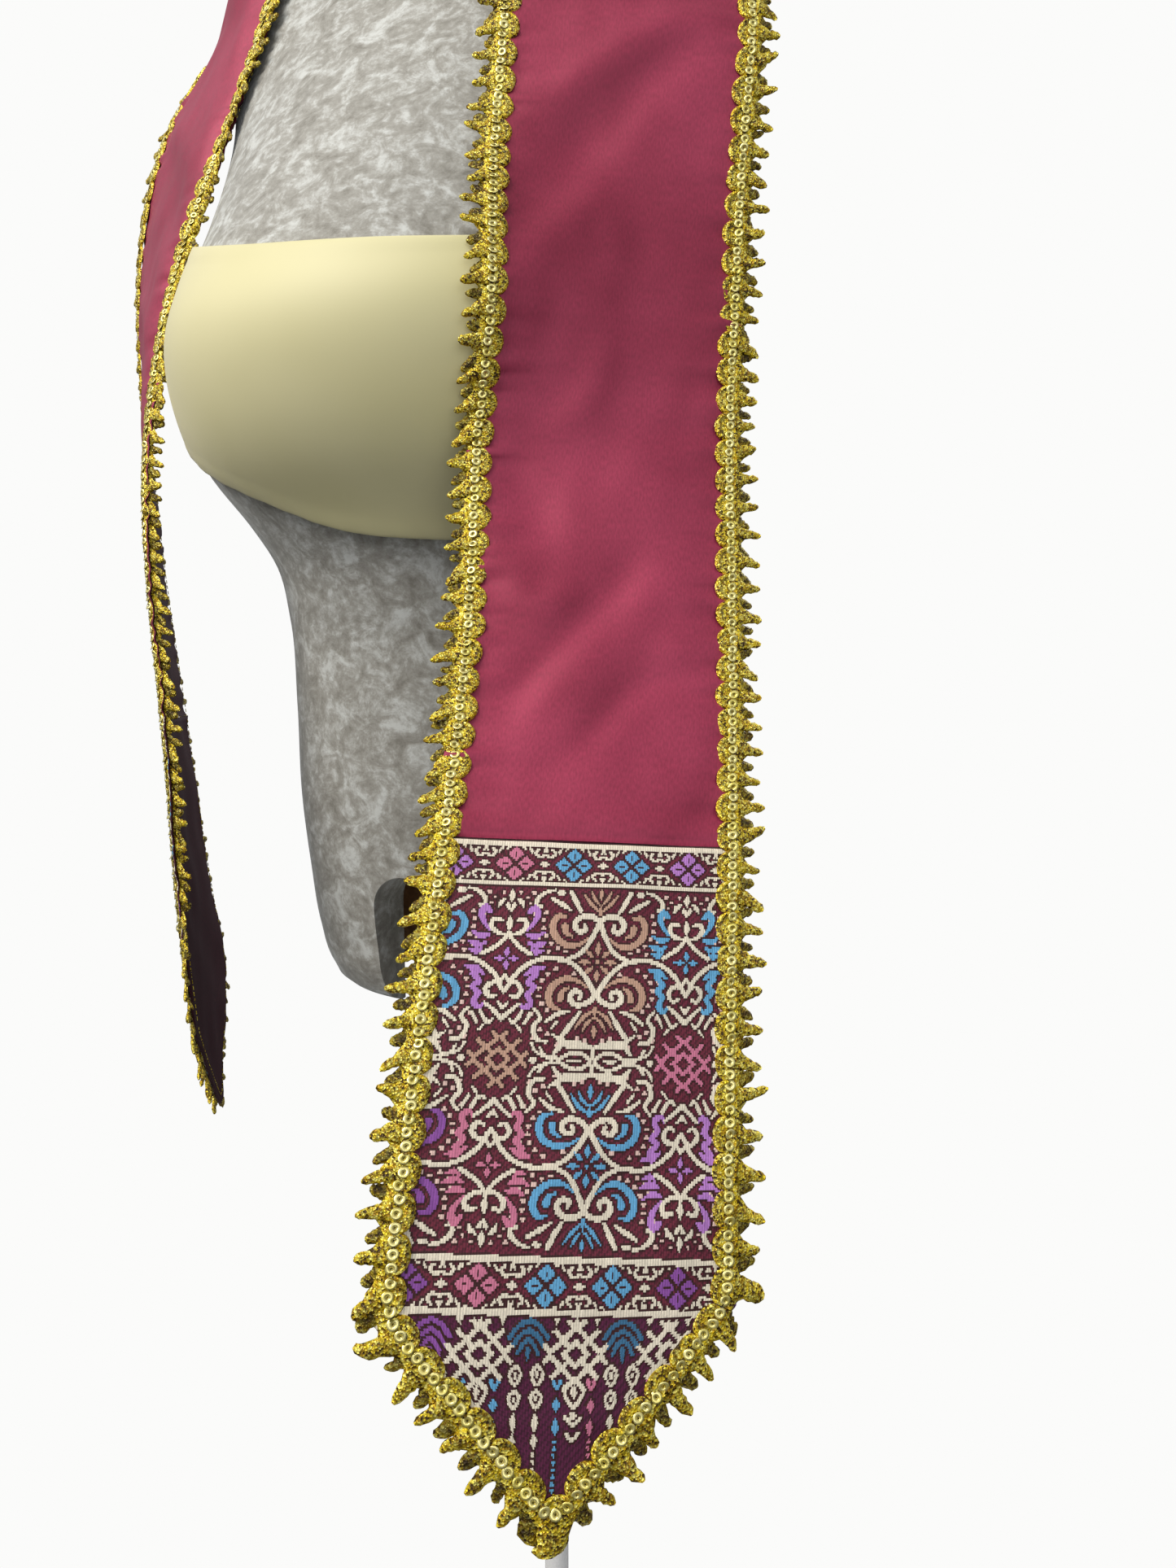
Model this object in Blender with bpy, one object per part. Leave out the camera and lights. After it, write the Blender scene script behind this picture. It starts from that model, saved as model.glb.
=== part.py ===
# Graduation stole draped over a limbless dress form on a stand.
# Metres in Blender; every size below is in millimetres and turned to metres once, in to_metres.
# The form faces -Y. The wearer's left is +X. The origin is under the middle of the stand's base.
import bmesh
import bpy
import math
import numpy as np

for old in list(bpy.data.objects):
    bpy.data.objects.remove(old, do_unlink=True)

# Cloth sizes
CLOTH_WIDTH = 118.0  # side to side at the neck
END_FLARE = 9.5  # how much wider the ends are cut
FLARE_POWER = 1.2  # 1 would widen the cloth evenly from the nape
CLOTH_THICKNESS = 2.0  # satin, interlining and satin back, pressed together
SEAM_GAP = 0.3
POINT_HEIGHT = 68.0  # from the square end of the panel to its tip
BROCADE_STRAIGHT = 166.0  # brocade above the point
TIP_CUT = 5.0  # the cloth stops this short of the corner, under the trim
PANEL_BOW = 3.0  # how far the middle of the cloth stands proud of its edges
FORM_CLEARANCE = 6.5  # cloth's middle layer above the form
OVERHANG = 14.0  # how far beyond the cloth's edge the drape is worked out, for the trim

# Gold trim sizes: a corded scallop inside a line of sequins, and picots outside it
TRIM_REPEAT = 12.8
TRIM_THICKNESS = 1.5
TRIM_LIFT = 1.3  # from the cloth's face to the trim's underside
SEQUIN_INSET = 4.2  # sequin line inside the cloth's edge
CORNER_ROUNDING = 7.0
TRIM_COLUMNS = [  # part of a repeat, reach inside the sequin line, reach outside it
    dict(part=0.00, inside=3.6, outside=3.8),
    dict(part=0.42, inside=6.2, outside=4.6),
    dict(part=0.62, inside=6.0, outside=13.0),
]

# Where the stole lies: the sequin lines at the inner and outer edge, from the nape to the point
NECK_STATIONS = [
    dict(name="nape", inner=(0, 70, 1458), outer=(0, 110, 1346)),
    dict(name="back", inner=(34, 62, 1464), outer=(84, 108, 1372)),
    dict(name="yoke", inner=(57, 36, 1469), outer=(141, 78, 1399)),
    dict(name="shoulder", inner=(63, 0, 1465), outer=(157, 28, 1399)),
]
LEFT_STATIONS = NECK_STATIONS + [
    dict(name="collarbone", inner=(68, -36, 1440), outer=(166, -8, 1380)),
    dict(name="upper chest", inner=(76, -66, 1388), outer=(172, -26, 1360)),
    dict(name="chest", inner=(83, -92, 1324), outer=(182, -45, 1318)),
    dict(name="over the bust", inner=(81, -103, 1262), outer=(181, -50, 1262)),
    dict(name="bust", inner=(82, -115, 1197), outer=(181, -59, 1198)),
    dict(name="under the bust", inner=(86, -133, 1123), outer=(184, -74, 1124)),
    dict(name="waist", inner=(96, -158, 1051), outer=(193, -96, 1051)),
    dict(name="hip", inner=(107, -194, 986), outer=(205, -128, 984)),
    dict(name="top of brocade", inner=(119, -232, 930), outer=(216, -162, 924)),
    dict(name="brocade", inner=(131, -268, 869), outer=(226, -197, 857)),
    dict(name="square of the end", inner=(138, -290, 824), outer=(232, -220, 812)),
    dict(name="tip", inner=(144.7, -314.7, 754.5), outer=(238.7, -244.7, 742.5)),
]
RIGHT_STATIONS = NECK_STATIONS + [
    dict(name="collarbone", inner=(67, -31, 1436), outer=(167, 1, 1388)),
    dict(name="upper chest", inner=(80, -53, 1382), outer=(183, -12, 1366)),
    dict(name="chest", inner=(95, -72, 1326), outer=(201, -23, 1326)),
    dict(name="over the bust", inner=(111, -93, 1268), outer=(210, -31, 1268)),
    dict(name="bust", inner=(122, -111, 1202), outer=(207, -37, 1204)),
    dict(name="under the bust", inner=(122, -121, 1134), outer=(200, -41, 1134)),
    dict(name="waist", inner=(116, -128, 1074), outer=(190, -46, 1074)),
    dict(name="hip", inner=(104, -134, 989), outer=(173, -52, 986)),
    dict(name="brocade", inner=(94, -139, 880), outer=(158, -54, 877)),
    dict(name="square of the end", inner=(90, -138, 835), outer=(152, -52, 832)),
    dict(name="tip", inner=(86.6, -135.8, 760), outer=(147.5, -49.8, 757)),
]

# Dress form: half width, depth to the front and depth to the back at each height
FORM_SECTIONS = [
    dict(z=832, wide=68, front=62, back=66),
    dict(z=836, wide=76, front=71, back=76),
    dict(z=847, wide=84, front=79, back=85),
    dict(z=869, wide=91, front=84, back=93),
    dict(z=905, wide=96, front=88, back=100),
    dict(z=945, wide=100, front=91, back=103),
    dict(z=1000, wide=100, front=93, back=94),
    dict(z=1050, wide=101, front=97, back=84),
    dict(z=1080, wide=106, front=106, back=83),
    dict(z=1100, wide=116, front=122, back=84),
    dict(z=1125, wide=131, front=147, back=86),
    dict(z=1155, wide=141, front=162, back=89),
    dict(z=1185, wide=144, front=165, back=92),
    dict(z=1215, wide=142, front=152, back=95),
    dict(z=1245, wide=137, front=134, back=98),
    dict(z=1280, wide=134, front=113, back=100),
    dict(z=1320, wide=137, front=88, back=99),
    dict(z=1355, wide=145, front=67, back=95),
    dict(z=1385, wide=148, front=56, back=88),
    dict(z=1406, wide=141, front=52, back=80),
    dict(z=1424, wide=122, front=49, back=72),
    dict(z=1438, wide=97, front=48, back=65),
    dict(z=1450, wide=75, front=48, back=59),
    dict(z=1462, wide=60, front=48, back=55),
    dict(z=1480, wide=54, front=48, back=52),
    dict(z=1512, wide=53, front=48, back=51),
    dict(z=1520, wide=47, front=42, back=45),
]
FORM_SQUARENESS = 2.05
FORM_SIDES = 32
FORM_RINGS_MAX_STEP = 20.0
FORM_SMOOTH_ANGLE = 60.0
SAMPLE_ANGLES = np.arange(0.5, 360.0, 3.0)  # degrees round the form where the cloth is held off it
SAMPLE_HEIGHTS = np.arange(1000.0, 1519.0, 5.0)  # from where the cloth leaves the form up to its neck
SAMPLE_BLOCK = 400  # cloth points compared with the samples at one time

# Arch and hollow in the form's lower end
ARCH_MIDDLE = 11.0
ARCH_HALF_WIDTH = 20.0
ARCH_TOP = 911.0
ARCH_STEPS = 8
HOLLOW_LEFT, HOLLOW_RIGHT = -60.0, 31.0
HOLLOW_FRONT, HOLLOW_BACK = -58.0, 38.0
HOLLOW_TOP = 918.0
HOLLOW_ROUNDING = 0.7  # power that rounds its corners: 1 would be an ellipse
HOLLOW_SIDES = 20
HOLLOW_SHOULDER = 14.0  # its sides draw in over this height below its top
HOLLOW_TOP_SHARE = 0.82  # size of its top against the rest
CUTTER_BEYOND = 20.0  # how far the cutters reach past the surface they cut

# Smooth cover over the bust
COVER_EDGES = [  # heights of its edges at angles in degrees from the front, the wearer's left last
    dict(angle=-84, top=1280, low=1190),
    dict(angle=-60, top=1256, low=1152),
    dict(angle=-40, top=1237, low=1128),
    dict(angle=-20, top=1221, low=1109),
    dict(angle=0, top=1211, low=1093),
    dict(angle=20, top=1209, low=1088),
    dict(angle=40, top=1213, low=1089),
    dict(angle=60, top=1225, low=1100),
    dict(angle=84, top=1250, low=1140),
]
COVER_HALF_ANGLE = 84.0
COVER_END_ROUNDING = 8.0  # power of the curve that rounds its two ends
COVER_THICKNESS = 2.2
COVER_CLEARANCE = 1.3
COVER_COLUMNS = 23
COVER_ROWS = 12
COVER_END_LEAST = 0.01  # keeps its ends from closing to a point

# Stand
BASE_RADIUS = 150.0
BASE_HEIGHT = 14.0
BASE_CHAMFER = 4.0
POLE_RADIUS = 8.0
POLE_X, POLE_Y = 46.0, 26.0
SOCKET_RADIUS = 12.0
SOCKET_HEIGHT = 12.0
SOCKET_BEVEL = 1.5
FIT_GAP = 0.3
BASE_SIDES = 48
POLE_SIDES = 20
STAND_SMOOTH_ANGLE = 30.0


def to_metres(points):
    return np.asarray(points, float) / 1000.0


def smooth_interp(x, knots, values):
    """A smooth curve through the values at the knots, with slopes read from each knot's neighbours."""
    x = np.clip(np.asarray(x, float), knots[0], knots[-1])
    knots = np.asarray(knots, float)
    values = np.asarray(values, float)
    slopes = np.gradient(values, knots, axis=0)
    i = np.clip(np.searchsorted(knots, x, side="right") - 1, 0, len(knots) - 2)
    step = knots[i + 1] - knots[i]
    u = (x - knots[i]) / step
    if values.ndim > 1:
        step = step[..., None]
        u = u[..., None]
    h00 = 2 * u**3 - 3 * u**2 + 1
    h10 = u**3 - 2 * u**2 + u
    h01 = 3 * u**2 - 2 * u**3
    h11 = u**3 - u**2
    return h00 * values[i] + h10 * step * slopes[i] + h01 * values[i + 1] + h11 * step * slopes[i + 1]


def unit(vectors):
    return vectors / np.maximum(np.linalg.norm(vectors, axis=-1, keepdims=True), 1e-9)


def make_material(name, colour, roughness, metallic=0.0):
    material = bpy.data.materials.new(name)
    material.use_nodes = True
    shader = material.node_tree.nodes["Principled BSDF"]
    shader.inputs["Base Color"].default_value = (*colour, 1.0)
    shader.inputs["Roughness"].default_value = roughness
    shader.inputs["Metallic"].default_value = metallic
    material.diffuse_color = (*colour, 1.0)
    return material


def make_solid(name, points_mm, faces, material, smooth_angle=40.0):
    mesh = bpy.data.meshes.new(name)
    mesh.from_pydata(to_metres(points_mm).tolist(), [], faces)
    bm = bmesh.new()
    bm.from_mesh(mesh)
    bmesh.ops.recalc_face_normals(bm, faces=bm.faces)
    bmesh.ops.triangulate(bm, faces=bm.faces)
    bm.to_mesh(mesh)
    bm.free()
    mesh.materials.append(material)
    mesh.shade_smooth()
    mesh.set_sharp_from_angle(angle=math.radians(smooth_angle))
    solid = bpy.data.objects.new(name, mesh)
    bpy.context.scene.collection.objects.link(solid)
    return solid


def wall_solid(name, upper, lower, material):
    """A closed wall between two grids of points, each rows by columns by xyz."""
    rows, columns = upper.shape[:2]
    points = np.concatenate([upper.reshape(-1, 3), lower.reshape(-1, 3)])
    under = rows * columns

    def at(row, column, layer):
        return layer * under + row * columns + column

    faces = []
    for row in range(rows - 1):
        for column in range(columns - 1):
            for layer in (0, 1):
                faces.append([at(row, column, layer), at(row, column + 1, layer),
                              at(row + 1, column + 1, layer), at(row + 1, column, layer)])
        for column in (0, columns - 1):
            faces.append([at(row, column, 0), at(row + 1, column, 0),
                          at(row + 1, column, 1), at(row, column, 1)])
    for column in range(columns - 1):
        for row in (0, rows - 1):
            faces.append([at(row, column, 0), at(row, column + 1, 0),
                          at(row, column + 1, 1), at(row, column, 1)])
    return make_solid(name, points, faces, material)


def ring_solid(name, rings, material, smooth_angle=40.0):
    """A closed body through rings of equal count, capped at both ends."""
    sides = len(rings[0])
    faces = []
    for row in range(len(rings) - 1):
        for side in range(sides):
            nxt = (side + 1) % sides
            faces.append([row * sides + side, row * sides + nxt,
                          (row + 1) * sides + nxt, (row + 1) * sides + side])
    faces.append(list(range(sides)))
    faces.append([(len(rings) - 1) * sides + side for side in range(sides)])
    return make_solid(name, np.concatenate(rings), faces, material, smooth_angle)


# Dress form surface

FORM_HEIGHTS = [row["z"] for row in FORM_SECTIONS]
FORM_VALUES = [[row["wide"], row["front"], row["back"]] for row in FORM_SECTIONS]


def form_point(angle, z):
    """A point on the form: angle in radians from the front, towards the wearer's left."""
    wide, front, back = np.moveaxis(smooth_interp(z, FORM_HEIGHTS, FORM_VALUES), -1, 0)
    power = 2.0 / FORM_SQUARENESS
    across = np.sin(angle)
    ahead = np.cos(angle)
    x = wide * np.sign(across) * np.abs(across) ** power
    depth = np.where(ahead > 0, front, back)
    y = -depth * np.sign(ahead) * np.abs(ahead) ** power
    return np.stack(np.broadcast_arrays(x, y, z), -1)


def form_normal(angle, z):
    small = 1e-3
    along_angle = form_point(angle + small, z) - form_point(angle - small, z)
    along_z = form_point(angle, z + 0.5) - form_point(angle, z - 0.5)
    return unit(np.cross(along_angle, along_z))


def form_samples():
    """Points and outward normals spread over the upper form, for laying cloth on it."""
    angle, z = np.meshgrid(np.radians(SAMPLE_ANGLES), SAMPLE_HEIGHTS)
    return form_point(angle, z).reshape(-1, 3), form_normal(angle, z).reshape(-1, 3)


FORM_CLOUD, FORM_CLOUD_NORMALS = form_samples()


def push_off_form(points, clearance):
    """Moves each point that is too near the form out along the form's nearest normal."""
    flat = points.reshape(-1, 3)
    moved = flat.copy()
    for start in range(0, len(flat), SAMPLE_BLOCK):
        block = flat[start:start + SAMPLE_BLOCK]
        gap = ((block[:, None, :] - FORM_CLOUD[None]) ** 2).sum(-1)
        nearest = gap.argmin(1)
        normal = FORM_CLOUD_NORMALS[nearest]
        height = ((block - FORM_CLOUD[nearest]) * normal).sum(-1)
        moved[start:start + SAMPLE_BLOCK] = block + normal * np.maximum(clearance - height, 0.0)[:, None]
    return moved.reshape(points.shape)


# Stole drape: s runs from the nape to the tip, t from the inner to the outer edge

CLOTH_ROW_STEP = 20.0
DRAPE_ROWS_PER_STEP = 4  # finer rows while the cloth is laid, thinned afterwards
DRAPE_COLUMNS = 15
DRAPE_SMOOTHINGS = 24
CENTRE_LINE_POINTS = 400
NORMAL_REACH = 6.0  # half the distance over which the cloth's direction is read

# Where the wearer's right side turns its inner edge in towards the form
TURN_ROWS = (100.0, 220.0, 400.0, 520.0)  # comes in over the first two values of s, goes out over the last two
TURN_COLUMN = 4  # of the drape's columns, where the turn starts
TURN_ANGLE = 40.0
TURN_ANGLE_LEAST = 0.001  # in radians: the arc's formula needs some turn
TURN_CLEARANCE = 4.0


class Drape:
    """One side of the stole as a surface of s and t, both in millimetres of flat cloth."""

    def __init__(self, stations, side):
        self.side = side  # 1 for the wearer's left, -1 for the right
        inner = np.array([row["inner"] for row in stations], float)
        outer = np.array([row["outer"] for row in stations], float)
        middle = (inner + outer) / 2
        cross = unit(outer - inner)
        steps = np.linalg.norm(np.diff(middle, axis=0), axis=1)
        knots = np.concatenate([[0], np.cumsum(steps)])
        dense = np.linspace(0, knots[-1], CENTRE_LINE_POINTS)
        path = smooth_interp(dense, knots, middle)
        lengths = np.concatenate([[0], np.cumsum(np.linalg.norm(np.diff(path, axis=0), axis=1))])
        self.length = lengths[-1]
        steps = int(round(self.length / CLOTH_ROW_STEP))
        rows = np.linspace(0, self.length, steps * DRAPE_ROWS_PER_STEP + 1)
        at = np.interp(rows, lengths, dense)
        centre = smooth_interp(at, knots, middle)
        direction = unit(smooth_interp(at, knots, cross))
        reach = CLOTH_WIDTH / 2 + OVERHANG
        self.columns = np.linspace(-reach, reach, DRAPE_COLUMNS)
        widen = 1 + END_FLARE / CLOTH_WIDTH * (rows / self.length) ** FLARE_POWER
        grid = centre[:, None] + (direction * widen[:, None])[:, None] * self.columns[None, :, None]
        along = np.gradient(centre, rows, axis=0)
        normal = unit(np.cross(along, direction))
        bow = PANEL_BOW * (1 - (self.columns / (CLOTH_WIDTH / 2)) ** 2)
        grid = grid + normal[:, None] * bow[None, :, None]
        grid = self.lay(grid)
        if side < 0:
            grid = self.turn_in(grid, rows)
        grid[..., 0] *= side
        self.rows = rows[::DRAPE_ROWS_PER_STEP]
        self.grid = grid[::DRAPE_ROWS_PER_STEP]

    def lay(self, grid):
        """Pushes the cloth off the form and smooths what that creased, a few times over."""
        first = grid[0, :, 0].copy()
        grid = push_off_form(grid, FORM_CLEARANCE)
        for _ in range(DRAPE_SMOOTHINGS):
            soft = grid.copy()
            soft[1:-1] = (grid[:-2] + 2 * grid[1:-1] + grid[2:]) / 4
            soft[:, 1:-1] = (soft[:, :-2] + 2 * soft[:, 1:-1] + soft[:, 2:]) / 4
            soft[0, :, 0] = first
            grid = push_off_form(soft, FORM_CLEARANCE)
        grid[0, :, 0] = first
        return grid

    def turn_in(self, grid, rows):
        """Turns the inner edge in towards the form: an arc up to the cloth's edge and straight on beyond it."""
        pivot = grid[:, TURN_COLUMN]
        across = unit(pivot - grid[:, TURN_COLUMN + 1])
        inward = unit(np.cross(np.gradient(pivot, rows, axis=0), across))
        share = np.interp(rows, TURN_ROWS, (0.0, 1.0, 1.0, 0.0))
        share = share * share * (3 - 2 * share)
        angle = np.maximum(np.radians(TURN_ANGLE) * share, TURN_ANGLE_LEAST)
        reach = CLOTH_WIDTH / 2 + self.columns[TURN_COLUMN]
        for column in range(TURN_COLUMN):
            past = self.columns[TURN_COLUMN] - self.columns[column]
            turned = angle * min(past, reach) / reach
            beyond = max(past - reach, 0.0)
            ahead = reach * np.sin(turned) / angle + beyond * np.cos(angle)
            drop = reach * (1 - np.cos(turned)) / angle + beyond * np.sin(angle)
            grid[:, column] += across * (ahead - past)[:, None] + inward * drop[:, None]
        return push_off_form(grid, TURN_CLEARANCE)

    def half_width(self, s):
        """Half the cloth's width at s, in the flat measure of t."""
        to_tip = self.length - s
        return np.clip(CLOTH_WIDTH / 2 * to_tip / POINT_HEIGHT, 0, CLOTH_WIDTH / 2)

    def middle_layer(self, s, t):
        """Points of the cloth's middle layer, read between the drape's rows and columns."""
        s, t = np.broadcast_arrays(np.asarray(s, float), np.asarray(t, float))
        row = np.clip(s / (self.rows[1] - self.rows[0]), 0, len(self.rows) - 1.000001)
        column = (t - self.columns[0]) / (self.columns[1] - self.columns[0])
        column = np.clip(column, 0, len(self.columns) - 1.000001)
        i = row.astype(int)
        j = column.astype(int)
        u = (row - i)[..., None]
        v = (column - j)[..., None]
        near = self.grid[i, j] * (1 - v) + self.grid[i, j + 1] * v
        far = self.grid[i + 1, j] * (1 - v) + self.grid[i + 1, j + 1] * v
        below = s - self.length  # past the tip the trim runs straight on
        last = unit(self.grid[-1] - self.grid[-2])[j]
        return near * (1 - u) + far * u + last * np.maximum(below, 0)[..., None]

    def normal(self, s, t):
        """Outward direction of the cloth, away from the form."""
        reach = NORMAL_REACH
        along = self.middle_layer(np.minimum(s + reach, self.length), t) - self.middle_layer(
            np.maximum(s - reach, 0), t)
        across = self.middle_layer(s, t + reach) - self.middle_layer(s, t - reach)
        return unit(np.cross(along, across)) * self.side

    def surface(self, s, t, lift):
        """Points at a height over the middle layer, kept on their own side of the nape seam."""
        points = self.middle_layer(s, t) + self.normal(s, t) * lift
        points[..., 0] = self.side * np.maximum(points[..., 0] * self.side, SEAM_GAP / 2)
        return points


# Cloth pieces

CLOTH_CELLS = 6
CLOTH_ROW_MERGE = 5.0  # a drape row nearer than this to a piece's own row is left out


def cloth_panel(name, drape, start, end, material):
    """A wall of cloth between two stations of s, as wide as the stole is there."""
    own = [start, end]
    point_starts = drape.length - POINT_HEIGHT
    if start < point_starts < end:
        own.append(point_starts)
    shared = [s for s in drape.rows if start < s < end and min(abs(s - np.array(own))) > CLOTH_ROW_MERGE]
    s = np.array(sorted(own + shared))
    share = np.linspace(-1, 1, CLOTH_CELLS + 1)
    t = drape.half_width(s)[:, None] * share[None]
    s = np.repeat(s[:, None], len(share), axis=1)
    half = CLOTH_THICKNESS / 2
    return wall_solid(name, drape.surface(s, t, half), drape.surface(s, t, -half), material)


def trim_route(drape):
    """The sequin line down the inner edge, round the point and up the outer edge, in flat s and t."""
    edge = CLOTH_WIDTH / 2 - SEQUIN_INSET
    slope = math.hypot(CLOTH_WIDTH / 2, POINT_HEIGHT)
    inset_tip = SEQUIN_INSET * slope / (CLOTH_WIDTH / 2)
    tip = drape.length - inset_tip
    corner = tip - POINT_HEIGHT * edge / (CLOTH_WIDTH / 2)
    turns = np.array([(0.0, -edge), (corner, -edge), (tip, 0.0), (corner, edge), (0.0, edge)])
    steps = np.linalg.norm(np.diff(turns, axis=0), axis=1)
    marks = np.concatenate([[0], np.cumsum(steps)])
    length = np.arange(0, marks[-1], 1.0)
    line = np.stack([np.interp(length, marks, turns[:, k]) for k in range(2)], -1)
    reach = int(CORNER_ROUNDING)
    window = np.ones(2 * reach + 1) / (2 * reach + 1)
    padded = np.concatenate([np.repeat(line[:1], reach, 0), line, np.repeat(line[-1:], reach, 0)])
    line = np.stack([np.convolve(padded[:, k], window, mode="valid") for k in range(2)], -1)
    along = unit(np.gradient(line, axis=0))
    outward = np.stack([along[:, 1], -along[:, 0]], -1)
    return line, outward, (marks[1], marks[3])


def trim_strips(drape, side_name, material):
    """Gold trim in three lengths: inner edge, point and outer edge."""
    line, outward, corners = trim_route(drape)
    solid_line = drape.middle_layer(line[:, 0], line[:, 1])
    measured = np.concatenate([[0], np.cumsum(np.linalg.norm(np.diff(solid_line, axis=0), axis=1))])
    repeats = int(round(measured[-1] / TRIM_REPEAT))
    repeat = measured[-1] / repeats
    cuts = [0, int(round(measured[int(corners[0])] / repeat)), int(round(measured[int(corners[1])] / repeat)),
            repeats]
    bottom = CLOTH_THICKNESS / 2 + TRIM_LIFT
    for part, first, last in zip(("inner", "point", "outer"), cuts[:-1], cuts[1:]):
        marks, inside, outside = [], [], []
        for number in range(first, last + 1):
            for column in TRIM_COLUMNS:
                if number == last and column["part"] > 0:
                    break
                marks.append((number + column["part"]) * repeat)
                inside.append(column["inside"])
                outside.append(column["outside"])
        marks = np.array(marks)
        marks[0] += SEAM_GAP / 2
        marks[-1] -= SEAM_GAP / 2
        index = np.interp(marks, measured, np.arange(len(measured)))
        at = np.stack([np.interp(index, np.arange(len(line)), line[:, k]) for k in range(2)], -1)
        away = unit(np.stack([np.interp(index, np.arange(len(line)), outward[:, k]) for k in range(2)], -1))
        inner = at - away * np.array(inside)[:, None]
        outer = at + away * np.array(outside)[:, None]
        flat = np.stack([inner, outer], 1)
        upper = drape.surface(flat[..., 0], flat[..., 1], bottom + TRIM_THICKNESS)
        lower = drape.surface(flat[..., 0], flat[..., 1], bottom)
        wall_solid(f"trim_{side_name}_{part}", upper, lower, material)


def stole_side(side_name, stations, side, satin, brocade, gold):
    drape = Drape(stations, side)
    seam = drape.length - POINT_HEIGHT - BROCADE_STRAIGHT
    cloth_panel(f"satin_{side_name}", drape, 0.0, seam - SEAM_GAP / 2, satin)
    cloth_panel(f"brocade_{side_name}", drape, seam + SEAM_GAP / 2, drape.length - TIP_CUT, brocade)
    trim_strips(drape, side_name, gold)


# Dress form

def form_torso(material):
    """Velvet covered torso, hollow at its lower end behind a small arch."""
    heights = []
    for low, high in zip(FORM_HEIGHTS[:-1], FORM_HEIGHTS[1:]):
        count = max(1, math.ceil((high - low) / FORM_RINGS_MAX_STEP))
        heights += [low + (high - low) * k / count for k in range(count)]
    heights.append(FORM_HEIGHTS[-1])
    angles = np.radians(np.arange(FORM_SIDES) * 360.0 / FORM_SIDES)
    rings = [form_point(angles, np.full(FORM_SIDES, float(z))) for z in heights]
    torso = ring_solid("form_torso", rings, material, FORM_SMOOTH_ANGLE)
    for cutter in (hollow_cutter(), arch_cutter()):
        cut = torso.modifiers.new(cutter.name, "BOOLEAN")
        cut.object = cutter
        cut.operation = "DIFFERENCE"
    return torso


def as_cutter(solid):
    solid.hide_render = True
    solid.display_type = "WIRE"
    return solid


def hollow_cutter():
    middle = np.array([(HOLLOW_LEFT + HOLLOW_RIGHT) / 2, (HOLLOW_FRONT + HOLLOW_BACK) / 2])
    half = np.array([(HOLLOW_RIGHT - HOLLOW_LEFT) / 2, (HOLLOW_BACK - HOLLOW_FRONT) / 2])
    angles = np.radians(np.arange(HOLLOW_SIDES) * 360.0 / HOLLOW_SIDES)
    outline = np.stack([np.sign(np.cos(angles)) * np.abs(np.cos(angles)) ** HOLLOW_ROUNDING,
                        np.sign(np.sin(angles)) * np.abs(np.sin(angles)) ** HOLLOW_ROUNDING], -1)
    levels = ((FORM_HEIGHTS[0] - CUTTER_BEYOND, 1.0), (HOLLOW_TOP - HOLLOW_SHOULDER, 1.0),
              (HOLLOW_TOP, HOLLOW_TOP_SHARE))
    rings = []
    for z, share in levels:
        ring = np.column_stack([middle + outline * half * share, np.full(len(angles), z)])
        rings.append(ring)
    return as_cutter(ring_solid("hollow_cutter", rings, None))


def arch_cutter():
    low = FORM_HEIGHTS[0] - CUTTER_BEYOND
    spring = ARCH_TOP - ARCH_HALF_WIDTH
    outline = [(ARCH_MIDDLE - ARCH_HALF_WIDTH, low), (ARCH_MIDDLE + ARCH_HALF_WIDTH, low)]
    for k in range(ARCH_STEPS + 1):
        angle = math.pi * k / ARCH_STEPS
        across = ARCH_HALF_WIDTH * math.cos(angle)
        outline.append((ARCH_MIDDLE + across, spring + ARCH_HALF_WIDTH * math.sin(angle)))
    front = FORM_CLOUD[:, 1].min() - CUTTER_BEYOND
    rings = [np.array([(x, y, z) for x, z in outline]) for y in (front, HOLLOW_FRONT + CUTTER_BEYOND)]
    return as_cutter(ring_solid("arch_cutter", rings, None))


def form_bust_cover(material):
    """A thin smooth shell over the bust between two smooth edges, with rounded ends."""
    angles = np.radians(COVER_HALF_ANGLE) * np.sin(np.linspace(-1, 1, COVER_COLUMNS) * math.pi / 2)
    share = np.linspace(-1, 1, COVER_ROWS)
    around = np.abs(angles / angles[-1])
    knots = [row["angle"] for row in COVER_EDGES]
    upper_edge = smooth_interp(np.degrees(angles), knots, [row["top"] for row in COVER_EDGES])
    lower_edge = smooth_interp(np.degrees(angles), knots, [row["low"] for row in COVER_EDGES])
    rounding = np.sqrt(np.maximum(1 - around ** COVER_END_ROUNDING, COVER_END_LEAST))
    half_height = (upper_edge - lower_edge) / 2 * rounding
    z = (upper_edge + lower_edge)[None] / 2 + half_height[None] * share[:, None]
    angle = np.broadcast_to(angles[None], z.shape)
    base = form_point(angle, z)
    normal = form_normal(angle, z)
    outside = base + normal * (COVER_CLEARANCE + COVER_THICKNESS)
    return wall_solid("form_bust_cover", outside, base + normal * COVER_CLEARANCE, material)


# Stand

def disc_rings(x, y, levels, sides):
    angles = np.radians(np.arange(sides) * 360.0 / sides)
    return [np.column_stack([x + radius * np.cos(angles), y + radius * np.sin(angles), np.full(sides, z)])
            for z, radius in levels]


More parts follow.
